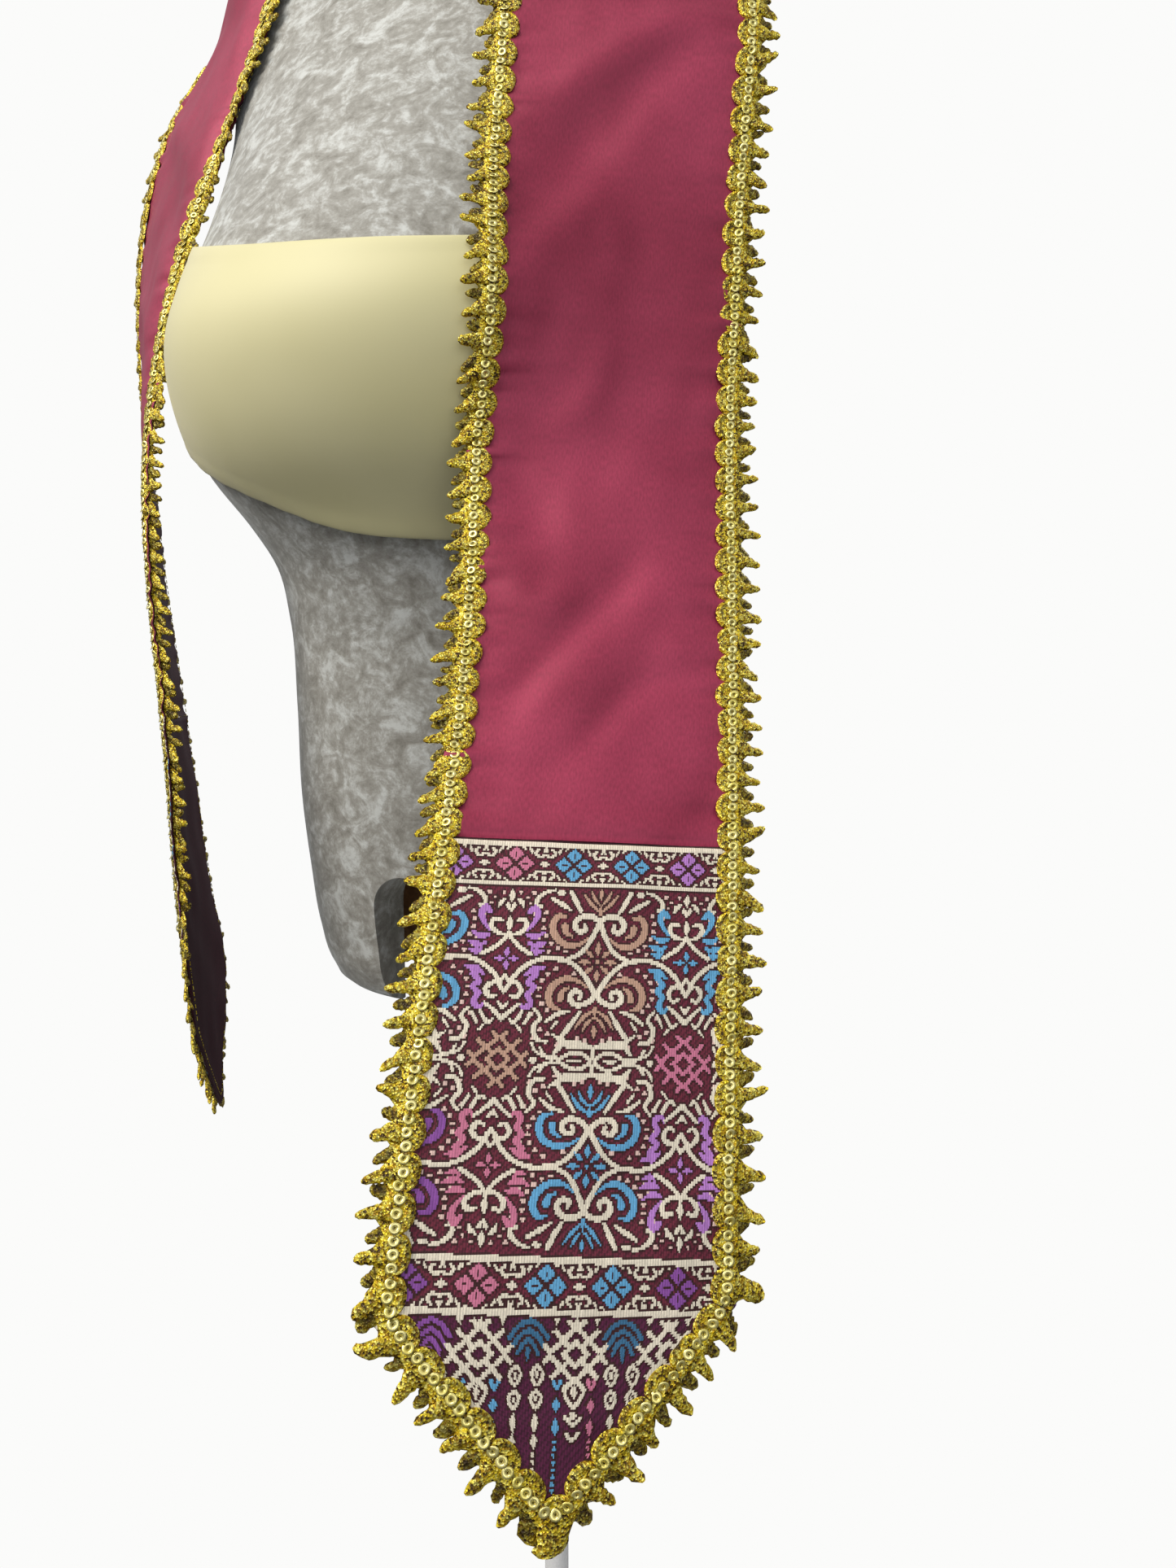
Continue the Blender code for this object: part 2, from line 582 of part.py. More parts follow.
def stand(painted):
    form_bottom = FORM_HEIGHTS[0]
    base = [(0.0, BASE_RADIUS), (BASE_HEIGHT - BASE_CHAMFER, BASE_RADIUS),
            (BASE_HEIGHT, BASE_RADIUS - BASE_CHAMFER)]
    ring_solid("stand_base", disc_rings(0, 0, base, BASE_SIDES), painted, STAND_SMOOTH_ANGLE)
    pole_top = form_bottom - FIT_GAP * 2 - SOCKET_HEIGHT
    pole = [(BASE_HEIGHT + FIT_GAP, POLE_RADIUS), (pole_top, POLE_RADIUS)]
    pole_rings = disc_rings(POLE_X, POLE_Y, pole, POLE_SIDES)
    ring_solid("stand_pole", pole_rings, painted, STAND_SMOOTH_ANGLE)
    socket_low = pole_top + FIT_GAP
    socket = [(socket_low, SOCKET_RADIUS - SOCKET_BEVEL), (socket_low + SOCKET_BEVEL, SOCKET_RADIUS),
              (form_bottom - FIT_GAP, SOCKET_RADIUS)]
    socket_rings = disc_rings(POLE_X, POLE_Y, socket, POLE_SIDES)
    ring_solid("stand_socket", socket_rings, painted, STAND_SMOOTH_ANGLE)


def build():
    satin = make_material("maroon_satin", (0.27, 0.03, 0.07), 0.4)
    brocade = make_material("brocade", (0.30, 0.12, 0.16), 0.7)
    gold = make_material("gold_lurex", (0.60, 0.40, 0.05), 0.35, 0.6)
    velvet = make_material("grey_velvet", (0.36, 0.35, 0.33), 0.9)
    cream = make_material("cream_jersey", (0.80, 0.74, 0.50), 0.6)
    painted = make_material("painted_steel", (0.75, 0.75, 0.74), 0.4)
    stole_side("left", LEFT_STATIONS, 1, satin, brocade, gold)
    stole_side("right", RIGHT_STATIONS, -1, satin, brocade, gold)
    form_torso(velvet)
    form_bust_cover(cream)
    stand(painted)


build()
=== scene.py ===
# A graduation stole over a limbless dress form: the finish of every piece.
# Settings are in millimetres unless their name says otherwise. Meshes are made in millimetres and stored in
# metres. The form faces -Y and the wearer's left is +X. s runs down the flat cloth from the nape, and t runs
# across it from the inner to the outer edge.
import bpy
import math
import numpy as np
from mathutils import Matrix, Vector


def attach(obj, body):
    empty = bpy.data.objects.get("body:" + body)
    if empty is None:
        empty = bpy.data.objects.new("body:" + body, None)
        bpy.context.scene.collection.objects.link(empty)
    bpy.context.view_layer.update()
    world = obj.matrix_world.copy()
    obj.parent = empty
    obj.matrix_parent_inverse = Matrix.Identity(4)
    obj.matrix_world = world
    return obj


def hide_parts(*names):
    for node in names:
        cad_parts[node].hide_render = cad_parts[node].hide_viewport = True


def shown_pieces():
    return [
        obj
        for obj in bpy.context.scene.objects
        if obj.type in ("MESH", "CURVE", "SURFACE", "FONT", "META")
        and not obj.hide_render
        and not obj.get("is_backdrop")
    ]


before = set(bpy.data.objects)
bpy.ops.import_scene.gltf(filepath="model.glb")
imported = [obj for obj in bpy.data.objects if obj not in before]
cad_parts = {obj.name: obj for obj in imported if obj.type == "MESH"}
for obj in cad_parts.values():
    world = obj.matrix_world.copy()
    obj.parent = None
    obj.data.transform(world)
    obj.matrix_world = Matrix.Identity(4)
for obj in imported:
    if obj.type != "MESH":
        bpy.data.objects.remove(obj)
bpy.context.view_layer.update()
print("frame loaded:", len(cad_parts), "nodes")

uvUnit = 100.0  # a unit of the cloth's UV map, in millimetres
thinnest = 0.04  # the square of the share of its thickness that a rounded edge keeps at its rim


# Curves and surfaces

# A smooth curve through values at knots: cubic Hermite pieces with slopes read from each knot's neighbours.
def smoothThrough(x, knots, values):
    knots = np.asarray(knots, float)
    values = np.asarray(values, float)
    x = np.clip(np.asarray(x, float), knots[0], knots[-1])
    slopes = np.gradient(values, knots, axis=0)
    i = np.clip(np.searchsorted(knots, x, side="right") - 1, 0, len(knots) - 2)
    step = knots[i + 1] - knots[i]
    u = (x - knots[i]) / step
    if values.ndim > 1:
        step, u = step[..., None], u[..., None]
    start = (2 * u**3 - 3 * u**2 + 1) * values[i] + (u**3 - 2 * u**2 + u) * step * slopes[i]
    return start + (3 * u**2 - 2 * u**3) * values[i + 1] + (u**3 - u**2) * step * slopes[i + 1]


# Each vector over its own length.
def unit(vectors):
    return vectors / np.maximum(np.linalg.norm(vectors, axis=-1, keepdims=True), 1e-9)


# 0 below low, 1 above high, and 3x^2 - 2x^3 between.
def ramp(x, low, high):
    share = np.clip((x - low) / (high - low), 0, 1)
    return share * share * (3 - 2 * share)


# Even noise from -1 to 1: sines of several lengths, crossed at seeded angles and phases, added and scaled.
def waves(points, size, seed, count=9):
    draw = np.random.default_rng(seed)
    total = np.zeros(points.shape[:-1])
    for _ in range(count):
        direction = draw.normal(size=points.shape[-1])
        direction /= np.linalg.norm(direction) * size * draw.uniform(0.6, 1.7)
        total += np.sin(2 * math.pi * (points @ direction) + draw.uniform(0, 2 * math.pi))
    return total / math.sqrt(count)


# Meshes

# Quads of a grid of points, row by row; closed joins the last column to the first.
def gridFaces(rows, columns, closed=False):
    row = np.arange(rows - 1)[:, None]
    column = np.arange(columns if closed else columns - 1)[None]
    after = (column + 1) % columns
    here, below = row * columns, (row + 1) * columns
    corners = [here + column, here + after, below + after, below + column]
    return np.stack(np.broadcast_arrays(*corners), -1).reshape(-1, 4)


# Closed bodies through loops of points: copies x rings x points x xyz. Sides are quads between neighbouring
# rings, and each end is a ladder of quads between the two halves of its loop.
def loftFaces(copies, rings, count):
    sides = gridFaces(rings, count, closed=True)
    rung = np.arange(count // 2 - 1)
    ladder = np.stack([rung, rung + 1, count - 2 - rung, count - 1 - rung], -1)
    one = np.concatenate([sides, ladder, ladder[:, ::-1] + (rings - 1) * count])
    return (one[None] + (np.arange(copies) * rings * count)[:, None, None]).reshape(-1, 4)


# Six times the volume inside triangles fanned from each face's first corner, negative if they face inwards.
def signedVolume(points, faces):
    total = 0.0
    for corner in range(1, faces.shape[1] - 1):
        a, b, c = points[faces[:, 0]], points[faces[:, corner]], points[faces[:, corner + 1]]
        total += (a * np.cross(b, c)).sum()
    return total


# Puts points in millimetres and faces into a new mesh object, turned to face outwards.
def makePiece(name, points, faceSets, materials):
    points = np.asarray(points, float).reshape(-1, 3)
    middle = points.mean(0)
    if sum(signedVolume(points - middle, faces) for faces in faceSets) < 0:
        faceSets = [faces[:, ::-1] for faces in faceSets]
    counts = np.concatenate([np.full(len(faces), faces.shape[1]) for faces in faceSets])
    corners = np.concatenate([faces.ravel() for faces in faceSets])
    mesh = bpy.data.meshes.new(name)
    mesh.vertices.add(len(points))
    mesh.vertices.foreach_set("co", (points / 1000).astype(np.float32).ravel())
    mesh.loops.add(len(corners))
    mesh.loops.foreach_set("vertex_index", corners.astype(np.int32))
    mesh.polygons.add(len(counts))
    mesh.polygons.foreach_set("loop_start", np.concatenate([[0], np.cumsum(counts)[:-1]]).astype(np.int32))
    mesh.update(calc_edges=True)
    mesh.validate()
    mesh.shade_smooth()
    for material in materials:
        mesh.materials.append(material)
    piece = bpy.data.objects.new(name, mesh)
    bpy.context.scene.collection.objects.link(piece)
    return piece


# Gives a mesh a UV map from one (u, v) pair a vertex.
def setUv(piece, perVertex):
    mesh = piece.data
    corner = np.zeros(len(mesh.loops), np.int32)
    mesh.loops.foreach_get("vertex_index", corner)
    layer = mesh.uv_layers.new(name="flatCloth")
    layer.data.foreach_set("uv", np.asarray(perVertex, np.float32)[corner].ravel())


# Gives each face its own linear colour, stored on the face's corners.
def setFaceColours(piece, perFace, name):
    mesh = piece.data
    totals = np.zeros(len(mesh.polygons), np.int32)
    mesh.polygons.foreach_get("loop_total", totals)
    layer = mesh.color_attributes.new(name, "FLOAT_COLOR", "CORNER")
    four = np.concatenate([perFace, np.ones((len(perFace), 1))], 1).astype(np.float32)
    layer.data.foreach_set("color", np.repeat(four, totals, axis=0).ravel())


# Gives each vertex a number, such as how much painted shade it takes.
def setVertexNumber(piece, values, name):
    layer = piece.data.attributes.new(name, "FLOAT", "POINT")
    layer.data.foreach_set("value", np.asarray(values, np.float32).ravel())


# Says where a piece rides and which nodes of the frame it replaces. The slot argument is not used.
def finishPiece(piece, slot, *nodes):
    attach(piece, "root")
    if nodes:
        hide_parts(*nodes)
    return piece


# Materials

# sRGB hex to linear: c/12.92 up to 0.04045, and ((c + 0.055)/1.055)^2.4 above.
def toLinear(hexColour):
    parts = [int(hexColour[k:k + 2], 16) / 255 for k in (1, 3, 5)]
    return tuple(c / 12.92 if c <= 0.04045 else ((c + 0.055) / 1.055) ** 2.4 for c in parts)


# An empty material and its node tree.
def newMaterial(name):
    material = bpy.data.materials.new(name)
    material.use_nodes = True
    tree = material.node_tree
    tree.nodes.clear()
    return material, tree


# Adds a node: inputs gives values or other nodes' sockets by socket name or number, and settings are the
# node's properties.
def addNode(tree, kind, inputs=None, **settings):
    node = tree.nodes.new(kind)
    for key, value in settings.items():
        setattr(node, key, value)
    for key, value in (inputs or {}).items():
        if isinstance(value, bpy.types.NodeSocket):
            tree.links.new(value, node.inputs[key])
        else:
            node.inputs[key].default_value = value
    return node


# A colour ramp from a list of (place, hex colour).
def addRamp(tree, factor, stops):
    node = addNode(tree, "ShaderNodeValToRGB", {"Fac": factor})
    elements = node.color_ramp.elements
    while len(elements) < len(stops):
        elements.new(0.5)
    for element, (place, hexColour) in zip(elements, stops):
        element.position = place
        element.color = (*toLinear(hexColour), 1)
    return node.outputs["Color"]


# The last two nodes of every material: a Principled shader and the output.
def closeMaterial(tree, inputs):
    shader = addNode(tree, "ShaderNodeBsdfPrincipled", inputs)
    addNode(tree, "ShaderNodeOutputMaterial", {"Surface": shader.outputs["BSDF"]})


# The satin's light colour is painted sheen, laid in broad clouds over its face colour.
satin = dict(
    face="#8E2843", light="#A83A57", sheenCloudSize=70.0, threadSize=0.75, threadStretch=0.3, threadDepth=0.03,
    threadShade=(0.84, 1.16), gloss=(0.46, 0.58), halfThickness=0.9, columns=48, rowStep=2.6,
    edgeCrowding=0.88, roundingPower=16, backShare=0.8, creaseGain=0.95, puckerReach=4.5, puckerRun=26.0,
    swell=(0.5, 55.0), ripple=(0.16, 21.0), edgePucker=(0.8, 11.0), edgeStrip=8.0, edgeFade=9.0,
    edgePower=1.3, seamRoll=(6.0, 4.0, 0.9), seamDip=0.7, seamDipWidth=1.6, napeDip=(0.0, 2.2, -0.9),
    seamRun=60.0)


# Duchess satin, polyester: long smooth floats give a broad soft shine across the cloth and faint slubs.
def duchessSatin():
    material, tree = newMaterial("duchess satin")
    place = addNode(tree, "ShaderNodeTexCoord").outputs["Object"]
    sheenCloud = addNode(tree, "ShaderNodeTexNoise", {
        "Vector": place, "Scale": 1000 / satin["sheenCloudSize"], "Detail": 3.0}).outputs["Fac"]
    cloth = addNode(tree, "ShaderNodeUVMap", uv_map="flatCloth").outputs["UV"]
    along = addNode(tree, "ShaderNodeMapping", {
        "Vector": cloth, "Scale": (1.0, satin["threadStretch"], 1.0)}).outputs["Vector"]
    slub = addNode(tree, "ShaderNodeTexNoise", {
        "Vector": along, "Scale": uvUnit / satin["threadSize"], "Detail": 3.0}).outputs["Fac"]
    # Painted sheen: the slow cloud lays the lighter colour over the face in broad soft patches.
    colour = addRamp(tree, sheenCloud, [(0.35, satin["face"]), (0.75, satin["light"])])
    darkest, lightest = satin["threadShade"]
    grain = addNode(tree, "ShaderNodeMapRange", {
        "Value": slub, "From Min": 0.3, "From Max": 0.7, "To Min": darkest, "To Max": lightest})
    tinted = addNode(tree, "ShaderNodeVectorMath", {
        0: colour, "Scale": grain.outputs["Result"]}, operation="SCALE")
    smoothest, roughest = satin["gloss"]
    rough = addNode(tree, "ShaderNodeMapRange", {"Value": slub, "To Min": smoothest, "To Max": roughest})
    bump = addNode(tree, "ShaderNodeBump", {
        "Height": slub, "Strength": 0.25, "Distance": satin["threadDepth"] / 1000})
    closeMaterial(tree, {
        "Base Color": tinted.outputs["Vector"], "Roughness": rough.outputs["Result"],
        "Normal": bump.outputs["Normal"], "Metallic": 0.34, "Specular IOR Level": 0.45,
        "Sheen Weight": 0.06, "Sheen Roughness": 0.4, "Sheen Tint": (*toLinear("#E58AA0"), 1)})
    return material


brocade = dict(
    cellAcross=0.45, cellAlong=0.75, coarseness=4, floatHeight=0.2, threadPitch=0.9, unevenSize=0.625,
    ribPitch=2.3, ribSlope=0.9, ribShare=0.4, swell=0.88, outlineWidth=0.62, halfThickness=0.8,
    roundingPower=40, wave=(0.5, 48.0), edgeWave=(0.25, 13.0), seamDipWidth=1.4, seamRun=130.0, cellTone=0.04,
    threadTone=0.06, seed=7,
    colours=dict(ground="#6C2436", outline="#3A1A1A", cream="#E6DCC6", lilac="#B57CC6", purple="#8A4E9E",
                 pink="#CB7692", blue="#62A6D0", teal="#3A6D90", tan="#BE9882", dot="#E2C2B6", deep="#571A3C",
                 groundRib="#501A28", deepRib="#42142C"))


# Jacquard brocade: rayon floats lie proud of a fine twill ground, in close upright threads with dark gaps.
# A wave texture's bands are pi / 10 of a unit apart at a scale of one.
def jacquardBrocade():
    material, tree = newMaterial("jacquard brocade")
    thread = addNode(tree, "ShaderNodeVertexColor", layer_name="threadColour").outputs["Color"]
    cloth = addNode(tree, "ShaderNodeUVMap", uv_map="flatCloth").outputs["UV"]
    floats = addNode(tree, "ShaderNodeTexWave", {
        "Vector": cloth, "Scale": math.pi / 10 / (brocade["threadPitch"] / uvUnit),
        "Distortion": 0.6, "Detail": 1.0, "Detail Scale": 2.0}, bands_direction="X").outputs["Fac"]
    uneven = addNode(tree, "ShaderNodeTexNoise", {
        "Vector": cloth, "Scale": uvUnit / brocade["unevenSize"], "Detail": 3.0}).outputs["Fac"]
    # Painted shade and highlight: each float is darker in the gaps between threads and lighter on their
    # crowns.
    shade = addNode(tree, "ShaderNodeMapRange", {"Value": floats, "To Min": 0.8, "To Max": 1.12})
    speck = addNode(tree, "ShaderNodeMapRange", {"Value": uneven, "To Min": 0.8, "To Max": 1.2})
    level = addNode(tree, "ShaderNodeMath", {
        0: shade.outputs["Result"], 1: speck.outputs["Result"]}, operation="MULTIPLY").outputs["Value"]
    colour = addNode(tree, "ShaderNodeVectorMath", {0: thread, "Scale": level}, operation="SCALE")
    bump = addNode(tree, "ShaderNodeBump", {"Height": floats, "Strength": 0.5, "Distance": 0.0001})
    closeMaterial(tree, {
        "Base Color": colour.outputs["Vector"], "Roughness": 0.62, "Normal": bump.outputs["Normal"],
        "Specular IOR Level": 0.3, "Sheen Weight": 0.15, "Sheen Roughness": 0.4})
    return material


# Trim colours: bright and spark are painted glints over the middle gold, dark is painted shade, and
# threadShade is the dark brown that painted shade mixes in.
trim = dict(
    fleck=0.8, dark="#4A3403", middle="#B48C0A", bright="#F0D626", paintedGlint="#FFF27C", threadShade="#332404",
    sequin="#FFF3A0", sequinRim="#F0DF70", sequinChange=4.5)


# Lurex cord: flat metallised yarn twisted round a core, its colour in small bright and dark flecks.
def lurexCord():
    material, tree = newMaterial("gold lurex cord")
    place = addNode(tree, "ShaderNodeTexCoord").outputs["Object"]
    fleck = addNode(tree, "ShaderNodeTexVoronoi", {"Vector": place, "Scale": 1000 / trim["fleck"]})
    apart = addNode(tree, "ShaderNodeSeparateColor", {"Color": fleck.outputs["Color"]})
    # The middle gold is the yarn's own; the bright flecks and sparks are painted glints, the dark flecks
    # painted shade.
    colour = addRamp(tree, apart.outputs["Red"], [
        (0.1, trim["dark"]), (0.3, trim["middle"]), (0.62, trim["bright"]), (0.93, trim["paintedGlint"])])
    # Painted shade: the depth attribute mixes the cord's colour towards a dark brown.
    deep = addNode(tree, "ShaderNodeAttribute", attribute_name="depth")
    mixed = addNode(tree, "ShaderNodeMix", {  # sockets 6, 7 and output 2 carry the colours
        "Factor": deep.outputs["Fac"], 6: colour, 7: (*toLinear(trim["threadShade"]), 1)}, data_type="RGBA")
    rough = addNode(tree, "ShaderNodeMapRange", {
        "Value": apart.outputs["Green"], "To Min": 0.25, "To Max": 0.6})
    bump = addNode(tree, "ShaderNodeBump", {
        "Height": fleck.outputs["Distance"], "Strength": 0.9, "Distance": 0.0005})
    closeMaterial(tree, {
        "Base Color": mixed.outputs[2], "Roughness": rough.outputs["Result"],
        "Normal": bump.outputs["Normal"], "Metallic": 0.5, "Specular IOR Level": 0.6})
    return material


# Cup sequins: thin pressed plastic film with a pale gold metal coat, so they are smooth, bright and milky.
def cupSequin():
    material, tree = newMaterial("pale gold sequin")
    place = addNode(tree, "ShaderNodeTexCoord").outputs["Object"]
    each = addNode(tree, "ShaderNodeTexNoise", {
        "Vector": place, "Scale": 1000 / trim["sequinChange"], "Detail": 1.0}).outputs["Fac"]
    colour = addRamp(tree, each, [(0.35, trim["sequinRim"]), (0.6, trim["sequin"])])
    closeMaterial(tree, {"Base Color": colour, "Roughness": 0.24, "Metallic": 0.7, "Coat Weight": 0.4,
                         "Coat Roughness": 0.1})
    return material


velvet = dict(dark="#86837A", middle="#A4A29A", light="#CDCFCA", patch=15.0, streak=4.5, grain=1.1)


# Ice velvet: the pile is crushed flat in patches, so it is silver where it lies towards the light and grey
# elsewhere. Marks of three sizes are added, each with its share.
def iceVelvet():
    material, tree = newMaterial("ice velvet")
    place = addNode(tree, "ShaderNodeTexCoord").outputs["Object"]
    leaning = addNode(tree, "ShaderNodeMapping", {
        "Vector": place, "Rotation": (0.4, 0.5, 0.3), "Scale": (0.9, 1.0, 1.1)}).outputs["Vector"]
    nap = 0.0
    for vector, size, share, more in (
            (leaning, velvet["patch"], 0.62, {"Detail": 8.0, "Roughness": 0.68, "Distortion": 0.9}),
            (place, velvet["streak"], 0.28, {"Detail": 4.0, "Roughness": 0.6, "Distortion": 0.2}),
            (place, velvet["grain"], 0.1, {"Detail": 3.0})):
        marks = addNode(tree, "ShaderNodeTexNoise", {"Vector": vector, "Scale": 1000 / size, **more})
        nap = addNode(tree, "ShaderNodeMath", {0: marks.outputs["Fac"], 1: share, 2: nap},
                      operation="MULTIPLY_ADD").outputs["Value"]
    colour = addRamp(tree, nap, [(0.37, velvet["dark"]), (0.49, velvet["middle"]), (0.6, velvet["light"])])
    bump = addNode(tree, "ShaderNodeBump", {"Height": nap, "Strength": 0.5, "Distance": 0.001})
    closeMaterial(tree, {
        "Base Color": colour, "Roughness": 0.75, "Normal": bump.outputs["Normal"],
        "Specular IOR Level": 0.2, "Sheen Weight": 0.6, "Sheen Roughness": 0.35,
        "Sheen Tint": (*toLinear("#DDE2E2"), 1)})
    return material


# A material whose colour runs from dark to light over marks of a size. relief is the size, detail, strength
# and depth of its bumps, if it has any.
def markedMaterial(name, size, detail, dark, light, relief, finish):
    material, tree = newMaterial(name)
    place = addNode(tree, "ShaderNodeTexCoord").outputs["Object"]
    marks = addNode(tree, "ShaderNodeTexNoise", {"Vector": place, "Scale": 1000 / size, "Detail": detail})
    colour = addRamp(tree, marks.outputs["Fac"], [(0.3, dark), (0.7, light)])
    inputs = {"Base Color": colour, **finish}
    if relief:
        bumpSize, bumpDetail, strength, depth = relief
        bumps = addNode(tree, "ShaderNodeTexNoise", {
            "Vector": place, "Scale": 1000 / bumpSize, "Detail": bumpDetail})
        bump = addNode(tree, "ShaderNodeBump", {
            "Height": bumps.outputs["Fac"], "Strength": strength, "Distance": depth / 1000})
        inputs["Normal"] = bump.outputs["Normal"]
    closeMaterial(tree, inputs)
    return material


satinFace, brocadeFace = duchessSatin(), jacquardBrocade()
lurex, sequinFilm, velvetPile = lurexCord(), cupSequin(), iceVelvet()
shadedBackFace = markedMaterial(  # the satin's dull side: matt, as no floats show, and near-black as painted shade
    "satin back in painted shade", 1.6, 3.0, "#2E0A15", "#3E0F1E", (1.6, 3.0, 0.2, 0.03),
    {"Roughness": 0.7, "Specular IOR Level": 0.25})
boardBrown = markedMaterial(  # pressed pulp inside the form: brown, matt and coarse
    "moulded fibreboard", 3.0, 6.0, "#6B4A2A", "#8C663C", (3.0, 6.0, 0.4, 0.5), {"Roughness": 0.9})
padJersey = markedMaterial(  # stretched cotton over a smooth pad: matt, with loops that only show close up
    "cream jersey", 90.0, 2.0, "#DCD5A0", "#E4DDAC", (0.8, 2.0, 0.15, 0.1),
    {"Roughness": 0.5, "Specular IOR Level": 0.35, "Sheen Weight": 0.25, "Sheen Roughness": 0.5})
paintedSteel = markedMaterial(  # powder coat, a baked resin: satin gloss with a fine orange peel
    "pale powder coat", 1.2, 2.0, "#E2E2DF", "#E9E9E7", (1.2, 2.0, 0.25, 0.2),
    {"Roughness": 0.42, "Coat Weight": 0.2, "Coat Roughness": 0.2})
floorPaper = markedMaterial(  # studio paper: matt, with a faint tooth
    "pale studio paper", 2.0, 2.0, "#F3F2F0", "#F8F7F5", None,
    {"Roughness": 0.95, "Specular IOR Level": 0.1})
print("materials made")


# Dress form: half width, depth to the front and depth to the back at each height, as in the part's source

form = dict(
    squareness=2.05, rows=150, sides=120,
    sections=[
        (832, 68, 62, 66), (836, 76, 71, 76), (847, 84, 79, 85), (869, 91, 84, 93), (905, 96, 88, 100),
        (945, 100, 91, 103), (1000, 100, 93, 94), (1050, 101, 97, 84), (1080, 106, 106, 83),
        (1100, 116, 122, 84), (1125, 131, 147, 86), (1155, 141, 162, 89), (1185, 144, 165, 92),
        (1215, 142, 152, 95), (1245, 137, 134, 98), (1280, 134, 113, 100), (1320, 137, 88, 99),
        (1355, 145, 67, 95), (1385, 148, 56, 88), (1406, 141, 52, 80), (1424, 122, 49, 72),
        (1438, 97, 48, 65), (1450, 75, 48, 59), (1462, 60, 48, 55), (1480, 54, 48, 52), (1512, 53, 48, 51),
        (1520, 47, 42, 45)],
    endRounding=[0.0, 1.2, 2.6], endRun=4.0, archMiddle=11.0, archHalfWidth=20.0, archTop=911.0, archSteps=16,
    archFront=-200.0, archDepth=20.0, hollowX=(-60.0, 31.0), hollowY=(-58.0, 38.0), hollowTop=918.0,
    hollowSides=48, hollowPower=0.7, hollowRounding=[(-14.0, 1.0), (-4.0, 0.95), (0.0, 0.82)], below=20.0,
    sharpAngle=50.0, cloudDegrees=3.0, cloudHeights=(1000.0, 1519.0, 5.0))
formHeights = np.array([row[0] for row in form["sections"]], float)
formValues = np.array([row[1:] for row in form["sections"]], float)


# A point on the form: a superellipse of the height's half width and depths, at an angle from the front to the
# wearer's left.
def formPoint(angle, z):
    wide, front, back = np.moveaxis(smoothThrough(z, formHeights, formValues), -1, 0)
    across, ahead = np.sin(angle), np.cos(angle)
    power = 2 / form["squareness"]
    x = wide * np.sign(across) * np.abs(across) ** power
    y = -np.where(ahead > 0, front, back) * np.sign(ahead) * np.abs(ahead) ** power
    return np.stack(np.broadcast_arrays(x, y, z), -1)


# Outward normal: the cross product of small steps round the form and up it.
def formNormal(angle, z):
    roundIt = formPoint(angle + 1e-3, z) - formPoint(angle - 1e-3, z)
    up = formPoint(angle, z + 0.5) - formPoint(angle, z - 0.5)
    return unit(np.cross(roundIt, up))


cloudAngle, cloudHeight = np.meshgrid(
    np.radians(np.arange(0.5, 360, form["cloudDegrees"])), np.arange(*form["cloudHeights"]))
formCloud = formPoint(cloudAngle, cloudHeight).reshape(-1, 3)
formCloudNormals = formNormal(cloudAngle, cloudHeight).reshape(-1, 3)
formCloudSquares = (formCloud ** 2).sum(-1)


# Moves each point that is nearer the form than the clearance out along the form's nearest normal. The nearest
# sample c of a point p has the least c.c - 2 p.c, its squared distance without the p.p that all share.
def pushOffForm(points, clearance):
    flat = points.reshape(-1, 3)
    nearest = (formCloudSquares[None] - 2 * flat @ formCloud.T).argmin(1)
    normal = formCloudNormals[nearest]
    height = ((flat - formCloud[nearest]) * normal).sum(-1)
    return (flat + normal * np.maximum(clearance - height, 0)[:, None]).reshape(points.shape)


# Stole drape: the same stations and laying as the part's source, with a smooth curve between its rows

stole = dict(
    width=118.0, endFlare=9.5, flarePower=1.2, pointHeight=68.0, brocadeStraight=166.0, tipCut=5.0, bow=3.0,
    clearance=6.5, overhang=14.0, rowStep=20.0, finerRows=4, columns=15, smoothings=24, seamGap=0.3,
    seamRise=5.8, seamPower=1.6, turnRows=(100.0, 220.0, 400.0, 520.0), turnColumn=4, turnAngle=40.0,
    turnAngleLeast=1e-3, turnClearance=4.0, routeSteps=400, normalReach=5.0,
    neck=[((0, 70, 1458), (0, 110, 1346)), ((34, 62, 1464), (84, 108, 1372)),
          ((57, 36, 1469), (141, 78, 1399)), ((63, 0, 1465), (157, 28, 1399))],
    left=[((68, -36, 1440), (166, -8, 1380)), ((76, -66, 1388), (172, -26, 1360)),
          ((83, -92, 1324), (182, -45, 1318)), ((81, -103, 1262), (181, -50, 1262)),
          ((82, -115, 1197), (181, -59, 1198)), ((86, -133, 1123), (184, -74, 1124)),
          ((96, -158, 1051), (193, -96, 1051)), ((107, -194, 986), (205, -128, 984)),
          ((119, -232, 930), (216, -162, 924)), ((131, -268, 869), (226, -197, 857)),
          ((138, -290, 824), (232, -220, 812)), ((144.7, -314.7, 754.5), (238.7, -244.7, 742.5))],
    right=[((67, -31, 1436), (167, 1, 1388)), ((80, -53, 1382), (183, -12, 1366)),
           ((95, -72, 1326), (201, -23, 1326)), ((111, -93, 1268), (210, -31, 1268)),
           ((122, -111, 1202), (207, -37, 1204)), ((122, -121, 1134), (200, -41, 1134)),
           ((116, -128, 1074), (190, -46, 1074)), ((104, -134, 989), (173, -52, 986)),
           ((94, -139, 880), (158, -54, 877)), ((90, -138, 835), (152, -52, 832)),
           ((86.6, -135.8, 760), (147.5, -49.8, 757))])


